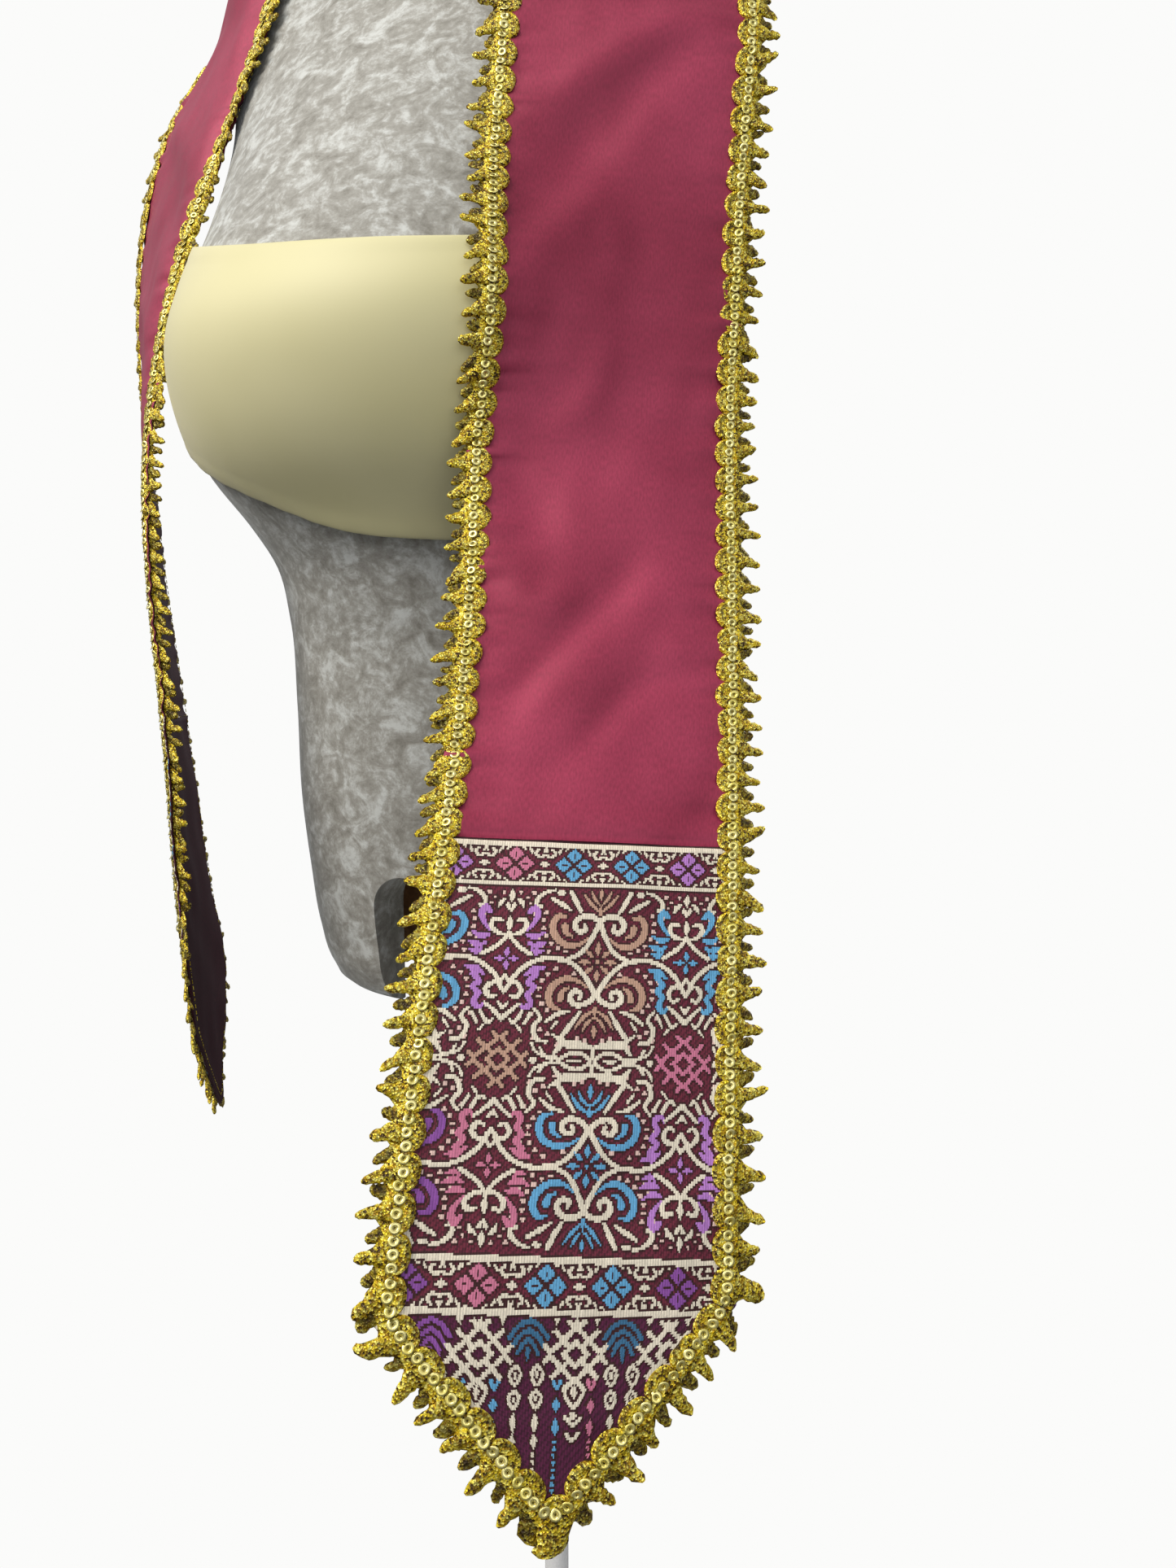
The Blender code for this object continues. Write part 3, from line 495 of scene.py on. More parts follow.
# Turns the right side's inner edge in towards the form: an arc of reach sin(a) / angle along and of
# reach (1 - cos(a)) / angle in, as far as the cloth's edge, and straight on beyond it. The turn comes in and
# goes out down the cloth.
def turnIn(grid, rows, columns):
    first = stole["turnColumn"]
    pivot = grid[:, first]
    across = unit(pivot - grid[:, first + 1])
    inward = unit(np.cross(np.gradient(pivot, rows, axis=0), across))
    share = np.interp(rows, stole["turnRows"], (0, 1, 1, 0))
    angle = math.radians(stole["turnAngle"]) * ramp(share, 0, 1)
    angle = np.maximum(angle, stole["turnAngleLeast"])[:, None]
    reach = stole["width"] / 2 + columns[first]
    past = (columns[first] - columns[:first])[None]
    turned = angle * np.minimum(past, reach) / reach
    beyond = np.maximum(past - reach, 0)
    ahead = reach * np.sin(turned) / angle + beyond * np.cos(angle)
    drop = reach * (1 - np.cos(turned)) / angle + beyond * np.sin(angle)
    grid[:, :first] += across[:, None] * (ahead - past)[..., None] + inward[:, None] * drop[..., None]
    return pushOffForm(grid, stole["turnClearance"])


# Lays one side: a ruled strip along the stations, bowed a little, then pushed off the form and smoothed by
# turns. The rows kept are padded by one beyond each edge for the curves that read them.
def layDrape(stations, side):
    ends = np.array(stole["neck"] + stations, float)
    inner, outer = ends[:, 0], ends[:, 1]
    middle, cross = (inner + outer) / 2, unit(outer - inner)
    knots = np.concatenate([[0], np.cumsum(np.linalg.norm(np.diff(middle, axis=0), axis=1))])
    dense = np.linspace(0, knots[-1], stole["routeSteps"])
    path = smoothThrough(dense, knots, middle)
    lengths = np.concatenate([[0], np.cumsum(np.linalg.norm(np.diff(path, axis=0), axis=1))])
    length, finer = lengths[-1], stole["finerRows"]
    rows = np.linspace(0, length, int(round(length / stole["rowStep"])) * finer + 1)
    at = np.interp(rows, lengths, dense)
    centre = smoothThrough(at, knots, middle)
    direction = unit(smoothThrough(at, knots, cross))
    half = stole["width"] / 2
    columns = np.linspace(-half - stole["overhang"], half + stole["overhang"], stole["columns"])
    widen = 1 + stole["endFlare"] / stole["width"] * (rows / length) ** stole["flarePower"]
    grid = centre[:, None] + (direction * widen[:, None])[:, None] * columns[None, :, None]
    normal = unit(np.cross(np.gradient(centre, rows, axis=0), direction))
    grid = grid + normal[:, None] * (stole["bow"] * (1 - (columns / half) ** 2))[None, :, None]
    first = grid[0, :, 0].copy()
    grid = pushOffForm(grid, stole["clearance"])
    for _ in range(stole["smoothings"]):
        soft = grid.copy()
        soft[1:-1] = (grid[:-2] + 2 * grid[1:-1] + grid[2:]) / 4
        soft[:, 1:-1] = (soft[:, :-2] + 2 * soft[:, 1:-1] + soft[:, 2:]) / 4
        soft[0, :, 0] = first
        grid = pushOffForm(soft, stole["clearance"])
    grid[0, :, 0] = first
    if side < 0:
        grid = turnIn(grid, rows, columns)
    grid[..., 0] *= side
    grid = grid[::finer]
    mirrored = grid[1] * np.array([-1.0, 1.0, 1.0])
    beyond = 2 * grid[-1] - grid[-2]
    padded = np.concatenate([mirrored[None], grid, beyond[None], (2 * beyond - grid[-1])[None]])
    before, after = 2 * padded[:, :1] - padded[:, 1:2], 2 * padded[:, -1:] - padded[:, -2:-1]
    padded = np.concatenate([before, padded, after], 1)
    return dict(side=side, length=length, seam=length - stole["pointHeight"] - stole["brocadeStraight"],
                rowStep=rows[finer] - rows[0], firstColumn=columns[0], columnStep=columns[1] - columns[0],
                lastRow=len(grid) - 1, lastColumn=len(columns) - 1, padded=padded)


# Catmull-Rom weights of four neighbours at a share u between the middle two.
def fourWeights(u):
    return [(-u + 2 * u**2 - u**3) / 2, (2 - 5 * u**2 + 3 * u**3) / 2, (u + 4 * u**2 - 3 * u**3) / 2,
            (u**3 - u**2) / 2]


# The cloth's middle layer at (s, t): the drape's grid read with Catmull-Rom curves both ways.
def middleLayer(drape, s, t):
    s, t = np.broadcast_arrays(np.asarray(s, float), np.asarray(t, float))
    row = np.clip(s / drape["rowStep"], 0, drape["lastRow"] + 0.999)
    column = np.clip((t - drape["firstColumn"]) / drape["columnStep"], 0, drape["lastColumn"] - 1e-6)
    i, j = row.astype(int), column.astype(int)
    along, across = fourWeights(row - i), fourWeights(column - j)
    total = 0
    for a in range(4):
        for b in range(4):
            total = total + drape["padded"][i + a, j + b] * (along[a] * across[b])[..., None]
    return total


# Points at a height over the middle layer, along its smooth outward normal, kept on their own side of the
# nape seam.
def clothPoint(drape, s, t, lift):
    reach = stole["normalReach"]
    along = middleLayer(drape, s + reach, t) - middleLayer(drape, np.maximum(s - reach, 0), t)
    across = middleLayer(drape, s, t + reach) - middleLayer(drape, s, t - reach)
    normal = unit(np.cross(along, across)) * drape["side"]
    points = middleLayer(drape, s, t) + normal * np.asarray(lift)[..., None]
    points[..., 0] = drape["side"] * np.maximum(points[..., 0] * drape["side"], stole["seamGap"] / 2)
    return points


# Half the cloth's width at s: full down to the square of the end, then straight to nothing at the tip.
def halfWidth(drape, s):
    return np.clip(stole["width"] / 2 * (drape["length"] - s) / stole["pointHeight"], 0, stole["width"] / 2)


# How far the seam runs up towards the inner edge: a power of the share of the width from the outer edge.
def seamShift(t):
    return -stole["seamRise"] * np.clip(0.5 - t / stole["width"], 0, 1) ** stole["seamPower"]


drapes = dict(left=layDrape(stole["left"], 1), right=layDrape(stole["right"], -1))
print("drape laid:", {key: round(drape["length"], 1) for key, drape in drapes.items()})


# Satin panels. A crease is a ridge or, with a negative height, a trough: a short route of (t, s), its height
# and its width. A pucker lies at the trim's stitching: its s, its side and its height.

creases = dict(
    left=[
        ([(34, 318), (2, 342), (-24, 380), (-46, 420)], -3.4, 13),
        ([(44, 326), (30, 308), (-8, 330), (-42, 358)], 2.2, 10),
        ([(-50, 438), (-32, 418), (-10, 396), (4, 428)], 1.8, 9),
        ([(-6, 436), (-4, 470), (-12, 488), (-28, 503)], 1.3, 9),
        ([(10, 470), (4, 505), (-2, 530)], -1.2, 14),
        ([(-42, 505), (-32, 530), (-24, 554)], -3.0, 12),
        ([(-46, 556), (-28, 580), (-6, 571)], 1.4, 8),
        ([(16, 548), (8, 566), (-12, 592), (-34, 620), (-50, 634)], -2.4, 9),
        ([(40, 560), (20, 580), (-6, 612), (-30, 640)], 1.4, 12),
        ([(54, 616), (30, 616), (12, 622), (-2, 640), (-22, 660)], -1.7, 7),
        ([(-40, 674), (-10, 679), (30, 681)], 1.0, 4),
        ([(52, 668), (38, 688)], -1.8, 9),
        ([(20, 250), (-10, 262), (-40, 284)], 1.8, 10),
        ([(48, 236), (10, 228), (-30, 236)], -1.6, 9),
        ([(36, 150), (-4, 160), (-44, 178)], 1.6, 12),
        ([(40, 96), (0, 84), (-36, 70)], 1.5, 9),
        ([(50, 40), (10, 46), (-30, 40)], -1.0, 8)],
    right=[
        ([(30, 300), (0, 322), (-30, 356), (-48, 384)], -2.8, 12),
        ([(40, 270), (10, 292), (-26, 316)], 1.9, 10),
        ([(46, 402), (14, 392), (-20, 410), (-44, 432)], 2.0, 9),
        ([(-40, 470), (-18, 500), (6, 512)], -2.4, 11),
        ([(36, 470), (20, 510), (22, 548)], 1.5, 10),
        ([(44, 560), (8, 572), (-30, 600)], -2.0, 9),
        ([(30, 600), (-4, 618), (-40, 626)], 1.0, 6),
        ([(48, 232), (10, 224), (-32, 238)], -1.7, 9),
        ([(30, 152), (-6, 166), (-46, 176)], 1.5, 11),
        ([(44, 92), (4, 80), (-34, 74)], 1.4, 8),
        ([(46, 36), (6, 44), (-34, 42)], -1.0, 8)])
puckers = dict(
    left=[(454, -1, -1.3), (473, -1, -1.0), (475, 1, -0.9), (498, 1, -1.1), (518, 1, -1.2), (586, 1, -0.9),
          (636, -1, -0.8), (655, 1, -0.8)],
    right=[(430, -1, -1.0), (462, 1, -1.1), (515, 1, -0.9), (548, -1, -1.0), (598, -1, -0.8)])


# A Gaussian ridge from its place, width and height.
def ridge(x, shape):
    place, width, height = shape
    return height * np.exp(-((x - place) / width) ** 2)


# Distance from each (t, s) to a smooth route, and how far along it the nearest place is, from 0 to 1.
def routeDistance(x, y, route, steps=10):
    knots = np.arange(len(route))
    line = smoothThrough(np.linspace(0, len(route) - 1, steps * (len(route) - 1) + 1), knots, route)
    best = np.full(x.shape, 1e9)
    share = np.zeros(x.shape)
    for k, (a, b) in enumerate(zip(line[:-1], line[1:])):
        run = b - a
        u = np.clip(((x - a[0]) * run[0] + (y - a[1]) * run[1]) / max(run @ run, 1e-9), 0, 1)
        far = np.hypot(x - a[0] - u * run[0], y - a[1] - u * run[1])
        nearer = far < best
        best = np.where(nearer, far, best)
        share = np.where(nearer, (k + u) / (len(line) - 1), share)
    return best, share


# How far the cloth stands off its smooth drape: Gaussian ridges along the creases that fade at their ends,
# short puckers at the trim's stitching, a slow swell, and a soft roll above the seam.
def satinRelief(drape, sideName, s, t):
    relief = np.zeros(s.shape)
    for route, height, width in creases[sideName]:
        far, share = routeDistance(t, s, route)
        fade = np.sin(math.pi * (share * 0.8 + 0.1))
        relief += satin["creaseGain"] * fade * ridge(far, (0, width, height))
    edge = stole["width"] / 2
    for place, side, height in puckers[sideName]:
        inward = (edge - t * side) / satin["puckerRun"]
        relief += height * np.exp(-((s - place) / satin["puckerReach"]) ** 2 - inward ** 2)
    flat = np.stack([s, t], -1)
    for (height, size), seed in ((satin["swell"], 3), (satin["ripple"], 5)):
        relief += height * waves(flat, size, seed + (drape["side"] < 0))
    height, size = satin["edgePucker"]
    for sign, seed in ((-1, 11), (1, 12)):
        inward = np.maximum(edge - t * sign - satin["edgeStrip"], 0)
        alongEdge = waves(s[..., None], size, seed + drape["side"])
        relief += height * alongEdge * np.exp(-(inward / satin["edgeFade"]) ** satin["edgePower"])
    toSeam = drape["seam"] - s
    relief += ridge(toSeam, satin["seamRoll"]) + ridge(toSeam, (0, satin["seamDipWidth"], -satin["seamDip"]))
    return relief + ridge(s, satin["napeDip"])


# A thin shell: at each s a loop across the front and back again behind, with a rounded edge, lofted down the
# cloth. Its columns crowd towards the edges as a sine does.
def satinPanel(sideName):
    drape = drapes[sideName]
    end = drape["seam"] - stole["seamGap"] / 2
    s = np.linspace(0, end, int(end / satin["rowStep"]))
    widest = math.pi / 2 * satin["edgeCrowding"]
    share = np.sin(np.linspace(-widest, widest, satin["columns"])) / math.sin(widest)
    t = share * stole["width"] / 2
    grid = np.broadcast_arrays(s[:, None], t[None])
    relief = satinRelief(drape, sideName, *grid)
    rounding = np.sqrt(np.clip(1 - np.abs(share) ** satin["roundingPower"], thinnest, 1))
    halfThick = satin["halfThickness"] * rounding[None]
    down = s[:, None] + seamShift(t)[None] * ramp(s, end - satin["seamRun"], end)[:, None]
    front = clothPoint(drape, down, grid[1], relief + halfThick)
    back = clothPoint(drape, down, grid[1], relief * satin["backShare"] - halfThick)
    rings = np.concatenate([front, back[:, ::-1]], 1)
    count = 2 * satin["columns"]
    faces = [loftFaces(1, len(s), count)]
    piece = makePiece(f"satin_panel_{sideName}", rings, faces, [satinFace, shadedBackFace])
    column = np.tile(np.arange(count), len(s) - 1)
    onBack = np.zeros(len(piece.data.polygons), np.int32)
    onBack[:len(column)] = column >= satin["columns"]
    piece.data.polygons.foreach_set("material_index", onBack)
    flat = np.stack(np.broadcast_arrays(t[None], s[:, None]), -1) / uvUnit
    setUv(piece, np.concatenate([flat, flat[:, ::-1]], 1).reshape(-1, 2))
    return finishPiece(piece, "maroon_satin", f"satin_{sideName}")


satinPieces = {key: satinPanel(key) for key in drapes}
print("satin panels made")


# Brocade. The motifs are strokes drawn in a quarter of the repeat and mirrored. A stroke has a colour, its
# widths at even places along it, and a line of (x, y) in millimetres.

field = dict(
    bigAxis=4.7, halfRepeat=32.75, middleRow=84.5, halfHeight=66.3, farAway=9.0, beadWidth=1.7, fretSize=10.4,
    fretLine=0.07, lowerRise=6.6, riseFrom=40.0, riseTo=150.0)
border = dict(
    repeats=3, shift=4, motifReach=7.4, linePlace=8.1, lineWidth=2.0,
    rows=[(10.2, ["lilac", "pink", "blue", "blue", "lilac"]),
          (160.2, ["purple", "pink", "blue", "blue", "purple"])])
endBand = dict(
    start=169.3, margin=0.4, pitch=30.4, fretPlace=11.6, fretSize=10.6, fretLine=0.074, leafClear=6.4,
    leafMiddle=4.0, leafSquash=0.9, beadEnd=54.0, beadPitch=2.1, beadWidth=1.2,
    beads=[("cream", 3.4, 41.4), ("chain", 9.8, 37.6)])

bigMotif = [  # x from the big axis, y from the middle row
    ("cream", (2.2, 2.0, 1.8), [(0, 52.2), (2.2, 46.5), (6.0, 40.3), (11.8, 37.0)]),
    ("cream", (2.2, 2.0, 1.8), [(0, 24.2), (3.8, 30.6), (7.8, 34.9), (12.0, 37.2)]),
    ("cream", (2.0, 1.8), [(11.8, 37.1), (19.0, 37.5), (25.0, 35.2), (29.3, 31.0), (31.9, 26.0)]),
    ("cream", (2.2, 2.4, 2.2, 1.6),
     [(0, 52.0), (3.2, 53.9), (7.2, 53.4), (9.2, 50.6), (7.6, 48.0), (5.2, 48.6), (5.6, 50.6)]),
    ("cream", (2.2, 2.4, 2.2, 1.6),
     [(0, 24.4), (3.0, 21.4), (7.0, 20.6), (9.3, 23.0), (7.8, 25.6), (5.4, 24.9), (5.8, 23.0)]),
    ("heart", (0.6, 2.4, 3.0, 2.8, 1.2),
     [(3.8, 45.8), (7.0, 43.2), (11.5, 42.6), (15.8, 45.6), (17.2, 50.0), (15.4, 53.6), (12.6, 53.6)]),
    ("heart", (0.6, 2.2, 2.8, 2.8, 1.2),
     [(3.0, 27.0), (6.6, 29.4), (11.0, 30.2), (15.3, 27.9), (17.0, 23.6), (15.6, 19.8), (13.0, 18.8)]),
    ("heart", (3.0, 1.0), [(12.8, 49.6), (12.2, 47.2), (9.8, 46.0)]),
    ("heart", (3.0, 1.0), [(12.6, 22.8), (12.0, 25.4), (9.8, 27.0)]),
    ("heart", (0.4, 2.6, 0.4), [(0, 39.6), (0, 41.6), (0, 44.2)]),
    ("heart", (0.4, 2.6, 0.4), [(0, 33.8), (0, 31.8), (0, 29.2)]),
    ("heart", (0.4, 2.6, 0.4), [(2.6, 36.7), (4.8, 36.7), (7.2, 36.7)]),
    ("heart", (0.4, 2.2, 0.4), [(1.5, 38.3), (3.0, 39.8), (4.4, 41.2)]),
    ("heart", (0.4, 2.2, 0.4), [(1.5, 35.1), (3.0, 33.6), (4.4, 32.2)]),
    ("heart", (1.4,), [(0, 36.5), (0, 36.9)]),
    ("heart", (0.8, 1.6, 0.6), [(0.6, 55.8), (3.4, 58.6), (6.4, 62.6)]),
    ("heart", (0.8, 1.4, 0.5), [(0.6, 58.6), (2.2, 60.6), (3.8, 63.6)]),
    ("heart", (0.4, 2.2, 0.4), [(0, 60.8), (0, 62.6), (0, 64.6)]),
    ("heart", (1.4, 0.8), [(0, 54.6), (0, 58.0)]),
    ("heart", (0.8, 1.8, 0.6), [(0.6, 18.6), (4.2, 15.8), (6.8, 11.8)]),
    ("heart", (0.8, 1.5, 0.5), [(0.6, 15.8), (2.8, 13.6), (4.2, 10.6)]),
    ("heart", (0.4, 2.6, 0.4), [(0, 13.2), (0, 11.0), (0, 8.4)]),
    ("heart", (1.4, 0.8), [(0, 19.4), (0, 15.6)]),
    ("cream", (1.4, 2.2, 1.8), [(7.2, 55.8), (9.2, 59.4), (11.2, 63.6)]),
    ("cream", (0.8, 2.2, 1.4), [(10.6, 55.8), (14.2, 58.2), (18.2, 60.6)]),
    ("cream", (1.8,), [(14.0, 62.9), (15.8, 62.9)]),
    ("cream", (1.2, 2.0, 1.4), [(17.2, 63.9), (20.8, 62.8), (23.4, 60.2), (23.6, 57.6), (21.8, 57.4)]),
    ("cream", (1.2, 2.2, 1.8), [(5.4, 18.0), (8.6, 12.8), (12.2, 7.6)]),
    ("cream", (0.8, 2.0, 1.2), [(9.2, 18.0), (13.2, 17.0), (17.4, 13.8)]),
    ("cream", (1.2, 0.8), [(13.4, 14.0), (15.4, 11.4)]),
    ("cream", (1.6,), [(0.8, 0.5), (3.6, 2.6), (6.6, 3.0), (9.6, 1.8), (12.0, 0.2)]),
    ("cream", (0.7, 1.7, 0.7), [(4.0, 0), (6.4, 0), (8.8, 0)]),
    ("cream", (1.6, 3.2, 3.4, 0.6), [(0.2, 4.8), (4.6, 5.8), (9.6, 6.2), (14.8, 9.6)]),
    ("cream", (2.4, 1.2), [(11.4, 5.6), (13.6, 2.6)]),
    ("cream", (1.4, 1.1), [(12.0, 0.8), (16.6, 1.4), (20.2, 3.2), (21.6, 6.0)]),
    ("cream", (1.8,), [(0, 1.6), (0, 3.6)]),
]
smallMotif = [  # x from the small axis, y from the middle row
    ("bird", (0.5, 2.4, 0.5), [(0, 38.0), (0, 39.6), (0, 41.4)]),
    ("bird", (0.5, 2.4, 0.5), [(0, 36.4), (0, 34.8), (0, 33.0)]),
    ("bird", (0.5, 2.4, 0.5), [(0.8, 37.2), (2.5, 37.2), (4.2, 37.2)]),
    ("cream", (1.8, 1.6), [(8.4, 38.8), (4.8, 41.2), (1.4, 44.6), (0, 47.2)]),
    ("cream", (0.8, 3.0, 0.6), [(0, 48.2), (0, 50.4), (0, 53.4)]),
    ("cream", (1.4, 2.0, 1.6), [(1.0, 46.2), (3.8, 46.8), (6.0, 49.4), (5.2, 52.2), (3.0, 51.6)]),
    ("cream", (0.6, 2.8, 0.6), [(0, 59.2), (0, 61.4), (0, 63.8)]),
    ("cream", (0.6, 2.2, 0.6), [(2.0, 60.2), (3.6, 58.8), (4.6, 56.8)]),
    ("cream", (2.0, 0.8), [(1.2, 57.6), (0, 55.4)]),
    ("dot", (1.2,), [(3.0, 62.6), (3.2, 62.6)]),
    ("dot", (1.2,), [(5.6, 60.6), (5.8, 60.6)]),
    ("dot", (1.2,), [(6.8, 58.2), (7.0, 58.2)]),
    ("bird", (2.0, 3.2, 2.8, 2.0, 0.8), [(6.8, 54.8), (8.6, 56.4), (9.9, 54.2), (8.8, 51.0), (6.4, 47.6)]),
    ("bird", (0.6, 3.0, 1.0), [(12.8, 47.2), (9.4, 45.6), (6.4, 46.0)]),
    ("bird", (0.6, 3.0, 1.0), [(14.0, 43.8), (10.4, 42.2), (7.2, 43.0)]),
    ("bird", (0.6, 2.4, 1.0), [(13.0, 40.4), (10.4, 39.6), (8.6, 40.8)]),
    ("cream", (1.4,), [(0, 31.0), (1.8, 27.8), (0, 24.6)]),
    ("cream", (1.4, 2.0, 1.3), [(1.2, 27.4), (4.0, 28.2), (6.0, 25.6), (4.6, 22.8), (2.6, 23.4)]),
    ("bird", (0.6, 3.6, 1.0), [(14.0, 34.0), (10.4, 33.4), (7.0, 31.2)]),
    ("bird", (2.4, 2.2), [(10.8, 31.4), (8.4, 28.4), (10.4, 26.6), (8.4, 24.2)]),
    ("bird", (2.2, 2.6, 0.8), [(8.2, 24.0), (9.6, 20.6), (7.4, 18.8), (6.2, 20.6)]),
    ("cream", (2.2, 1.3), [(0, 14.8), (2.6, 17.4), (5.8, 20.4)]),
    ("cream", (1.8, 0.8), [(0, 18.8), (1.8, 20.8)]),
    ("cream", (1.6, 1.2), [(10.0, 17.0), (8.0, 13.2)]),
    ("cream", (1.5, 1.2), [(7.0, 17.4), (4.6, 13.4), (3.0, 14.4)]),
    ("cream", (1.2, 0.8), [(5.6, 12.2), (7.2, 10.2)]),
    ("cream", (1.2, 2.0, 1.6), [(11.2, 18.6), (13.4, 15.4), (11.2, 11.8), (12.8, 7.4), (16.0, 6.8)]),
    ("cream", (2.8,), [(11.9, 0), (12.1, 0)]),
    ("cream", (1.2, 1.6), [(14.2, 4.4), (15.6, 1.8), (18.6, 0.6)]),
]
beads = [  # small dots round the hearts, from the big axis
    (19.8, 54.8), (20.5, 51.8), (20.3, 48.8), (19.2, 45.9), (17.2, 43.3), (14.7, 41.3), (11.7, 40.3),
    (22.0, 45.2), (20.8, 42.2), (17.9, 40.2), (14.8, 33.6), (17.6, 31.8), (19.6, 29.4), (20.5, 26.4),
    (20.3, 23.4), (19.0, 20.6), (17.0, 18.4), (22.0, 33.0), (22.8, 29.6), (23.4, 24.6), (16.4, 9.4),
    (19.0, 11.0), (21.2, 8.0), (12.6, 5.6), (3.0, 7.4), (5.8, 8.2), (22.4, 16.6), (23.6, 54.2),
    (24.8, 62.6), (8.2, 32.0)]
borderMotif = [  # x from a diamond, y from the border's middle
    ("cream", (0.8, 3.2), [(9.4, 0), (10.9, 0)]),
    ("cream", (1.1, 1.4, 1.1), [(10.9, 3.6), (8.6, 3.0), (7.2, 4.6), (8.4, 6.0)]),
    ("cream", (1.5, 1.0), [(10.9, 6.3), (10.3, 5.2)]),
    ("cream", (1.3, 0.8), [(5.8, 4.9), (5.0, 6.4)]),
    ("cream", (1.0, 0.6), [(3.4, 6.2), (2.4, 6.8)]),
]
endMotif = [  # x from a leaf, y down from the lower border line
    ("leaf", (1.8, 1.7), [(0, 1.4), (3.4, 3.2), (6.0, 6.6)]),
    ("leaf", (1.8, 1.6), [(0, 4.3), (2.8, 6.2), (4.8, 9.2)]),
    ("leaf", (1.7, 1.3), [(0, 7.2), (2.0, 9.0), (3.2, 11.6)]),
    ("leaf", (2.2, 0.5), [(0, 10.4), (0, 14.0)]),
    ("cream", (2.8, 0.4), [(8.6, 0.4), (8.6, 2.6)]),
    ("cream", (0.5, 2.8, 0.5), [(15.2, 0.8), (15.2, 2.6), (15.2, 4.4)]),
    ("cream", (1.2,), [(3.4, 15.0), (5.3, 17.6), (3.5, 21.0), (1.7, 17.6), (3.4, 15.0)]),
    ("cream", (1.3,), [(3.4, 17.5), (3.4, 18.6)]),
    ("cream", (1.2,), [(3.4, 22.6), (5.1, 24.8), (3.5, 28.0), (1.8, 24.8), (3.4, 22.6)]),
    ("cream", (1.0,), [(3.4, 24.8), (3.4, 25.6)]),
    ("cream", (0.5, 2.6, 0.5), [(3.4, 29.6), (3.4, 32.0), (3.4, 34.8)]),
    ("cream", (0.5, 2.6, 0.5), [(3.4, 35.6), (3.4, 37.6), (3.4, 39.8)]),
    ("cream", (1.4,), [(15.2, 19.2), (12.2, 22.0), (13.4, 25.6), (15.2, 27.4)]),
    ("cream", (0.6, 2.4, 0.6), [(15.2, 20.8), (15.2, 22.8), (15.2, 25.2)]),
    ("cream", (1.4,), [(12.9, 30.6), (15.2, 33.0)]),
    ("cream", (2.2,), [(15.2, 29.6), (15.2, 30.4)]),
    ("cream", (1.4,), [(13.4, 35.4), (15.2, 37.6)]),
    ("chain", (1.4,), [(8.6, 19.6), (9.8, 21.8), (11.0, 19.6)]),
    ("chain", (0.5, 2.8, 0.5), [(9.8, 24.8), (9.8, 26.8), (9.8, 28.8)]),
    ("chain", (0.5, 2.8, 0.5), [(9.8, 31.2), (9.8, 33.4), (9.8, 35.6)]),
]


# Signed distance to a stroke: the distance to the nearest place on its smooth line, less half its width.
def strokeDistance(x, y, widths, line):
    far, share = routeDistance(x, y, line, steps=5)
    return far - np.interp(share, np.linspace(0, 1, len(widths)), widths) / 2 * brocade["swell"]


fret = dict(
    ring=0.25, barMiddle=0.62, barHalf=0.36, armPlace=0.56, armReach=0.25, hookMiddle=0.7, hookHalf=0.18)


# A key fret in a square turned to stand on its corner: a ring, four bars, and on each bar an arm that ends in
# a hook. Everything but the size is a share of the size; line is half a line's width.
def fretDistance(x, y, size, line):
    p, q = np.abs(x + y) / math.sqrt(2) / size, np.abs(x - y) / math.sqrt(2) / size
    parts = [np.abs(np.maximum(p, q) - fret["ring"]) - line]
    reach = fret["armReach"]
    for a, b in ((p, q), (q, p)):
        parts.append(np.maximum(a - line, np.abs(b - fret["barMiddle"]) - fret["barHalf"]))
        parts.append(np.maximum(np.abs(a - reach) - reach, np.abs(b - fret["armPlace"]) - line))
        fromHook = np.abs(b - fret["hookMiddle"]) - fret["hookHalf"]
        parts.append(np.maximum(np.abs(a - 2 * reach) - line, fromHook))
    return np.min(parts, axis=0) * size


petals = dict(reach=6.9, crossHalf=0.65, slitHalf=0.3, slitPlace=0.52, slitReach=1.1)


# A square on its corner split by a cross into four petals, with a slit in each.
def petalDistance(x, y):
    reach = petals["reach"]
    square = (x + y - reach) / math.sqrt(2)
    cross = petals["crossHalf"] - np.abs(x - y) / math.sqrt(2)
    fromSlit = np.abs(np.maximum(x, y) - petals["slitPlace"] * reach) - petals["slitReach"]
    slit = np.maximum(np.minimum(x, y) - petals["slitHalf"], fromSlit)
    return np.maximum(np.maximum(square, cross), -slit)


# Lays a colour on the cells a shape covers, and keeps each cell's least distance to any shape.
def lay(sheet, far, colour, cells=...):
    sheet["colour"][cells] = np.where(far < 0, colour, sheet["colour"][cells])
    sheet["far"][cells] = np.minimum(sheet["far"][cells], far)


# Lays strokes on the cells near them; charts gives each colour name a number a cell.
def paint(sheet, x, y, strokes, charts, where):
    for colour, widths, line in strokes:
        line = np.array(line, float)
        (left, bottom), (right, top) = line.min(0), line.max(0)
        reach = max(widths) + 1.5
        near = where & (x > left - reach) & (x < right + reach) & (y > bottom - reach) & (y < top + reach)
        lay(sheet, strokeDistance(x[near], y[near], widths, line), charts[colour][near], near)


# The distance to the middle of the nearest repeat, and the repeat's number.
def repeatPlace(t, start, pitch):
    place = (t - start) / pitch + 0.5
    index = np.floor(place).astype(int)
    return np.abs(place - index - 0.5) * pitch, index


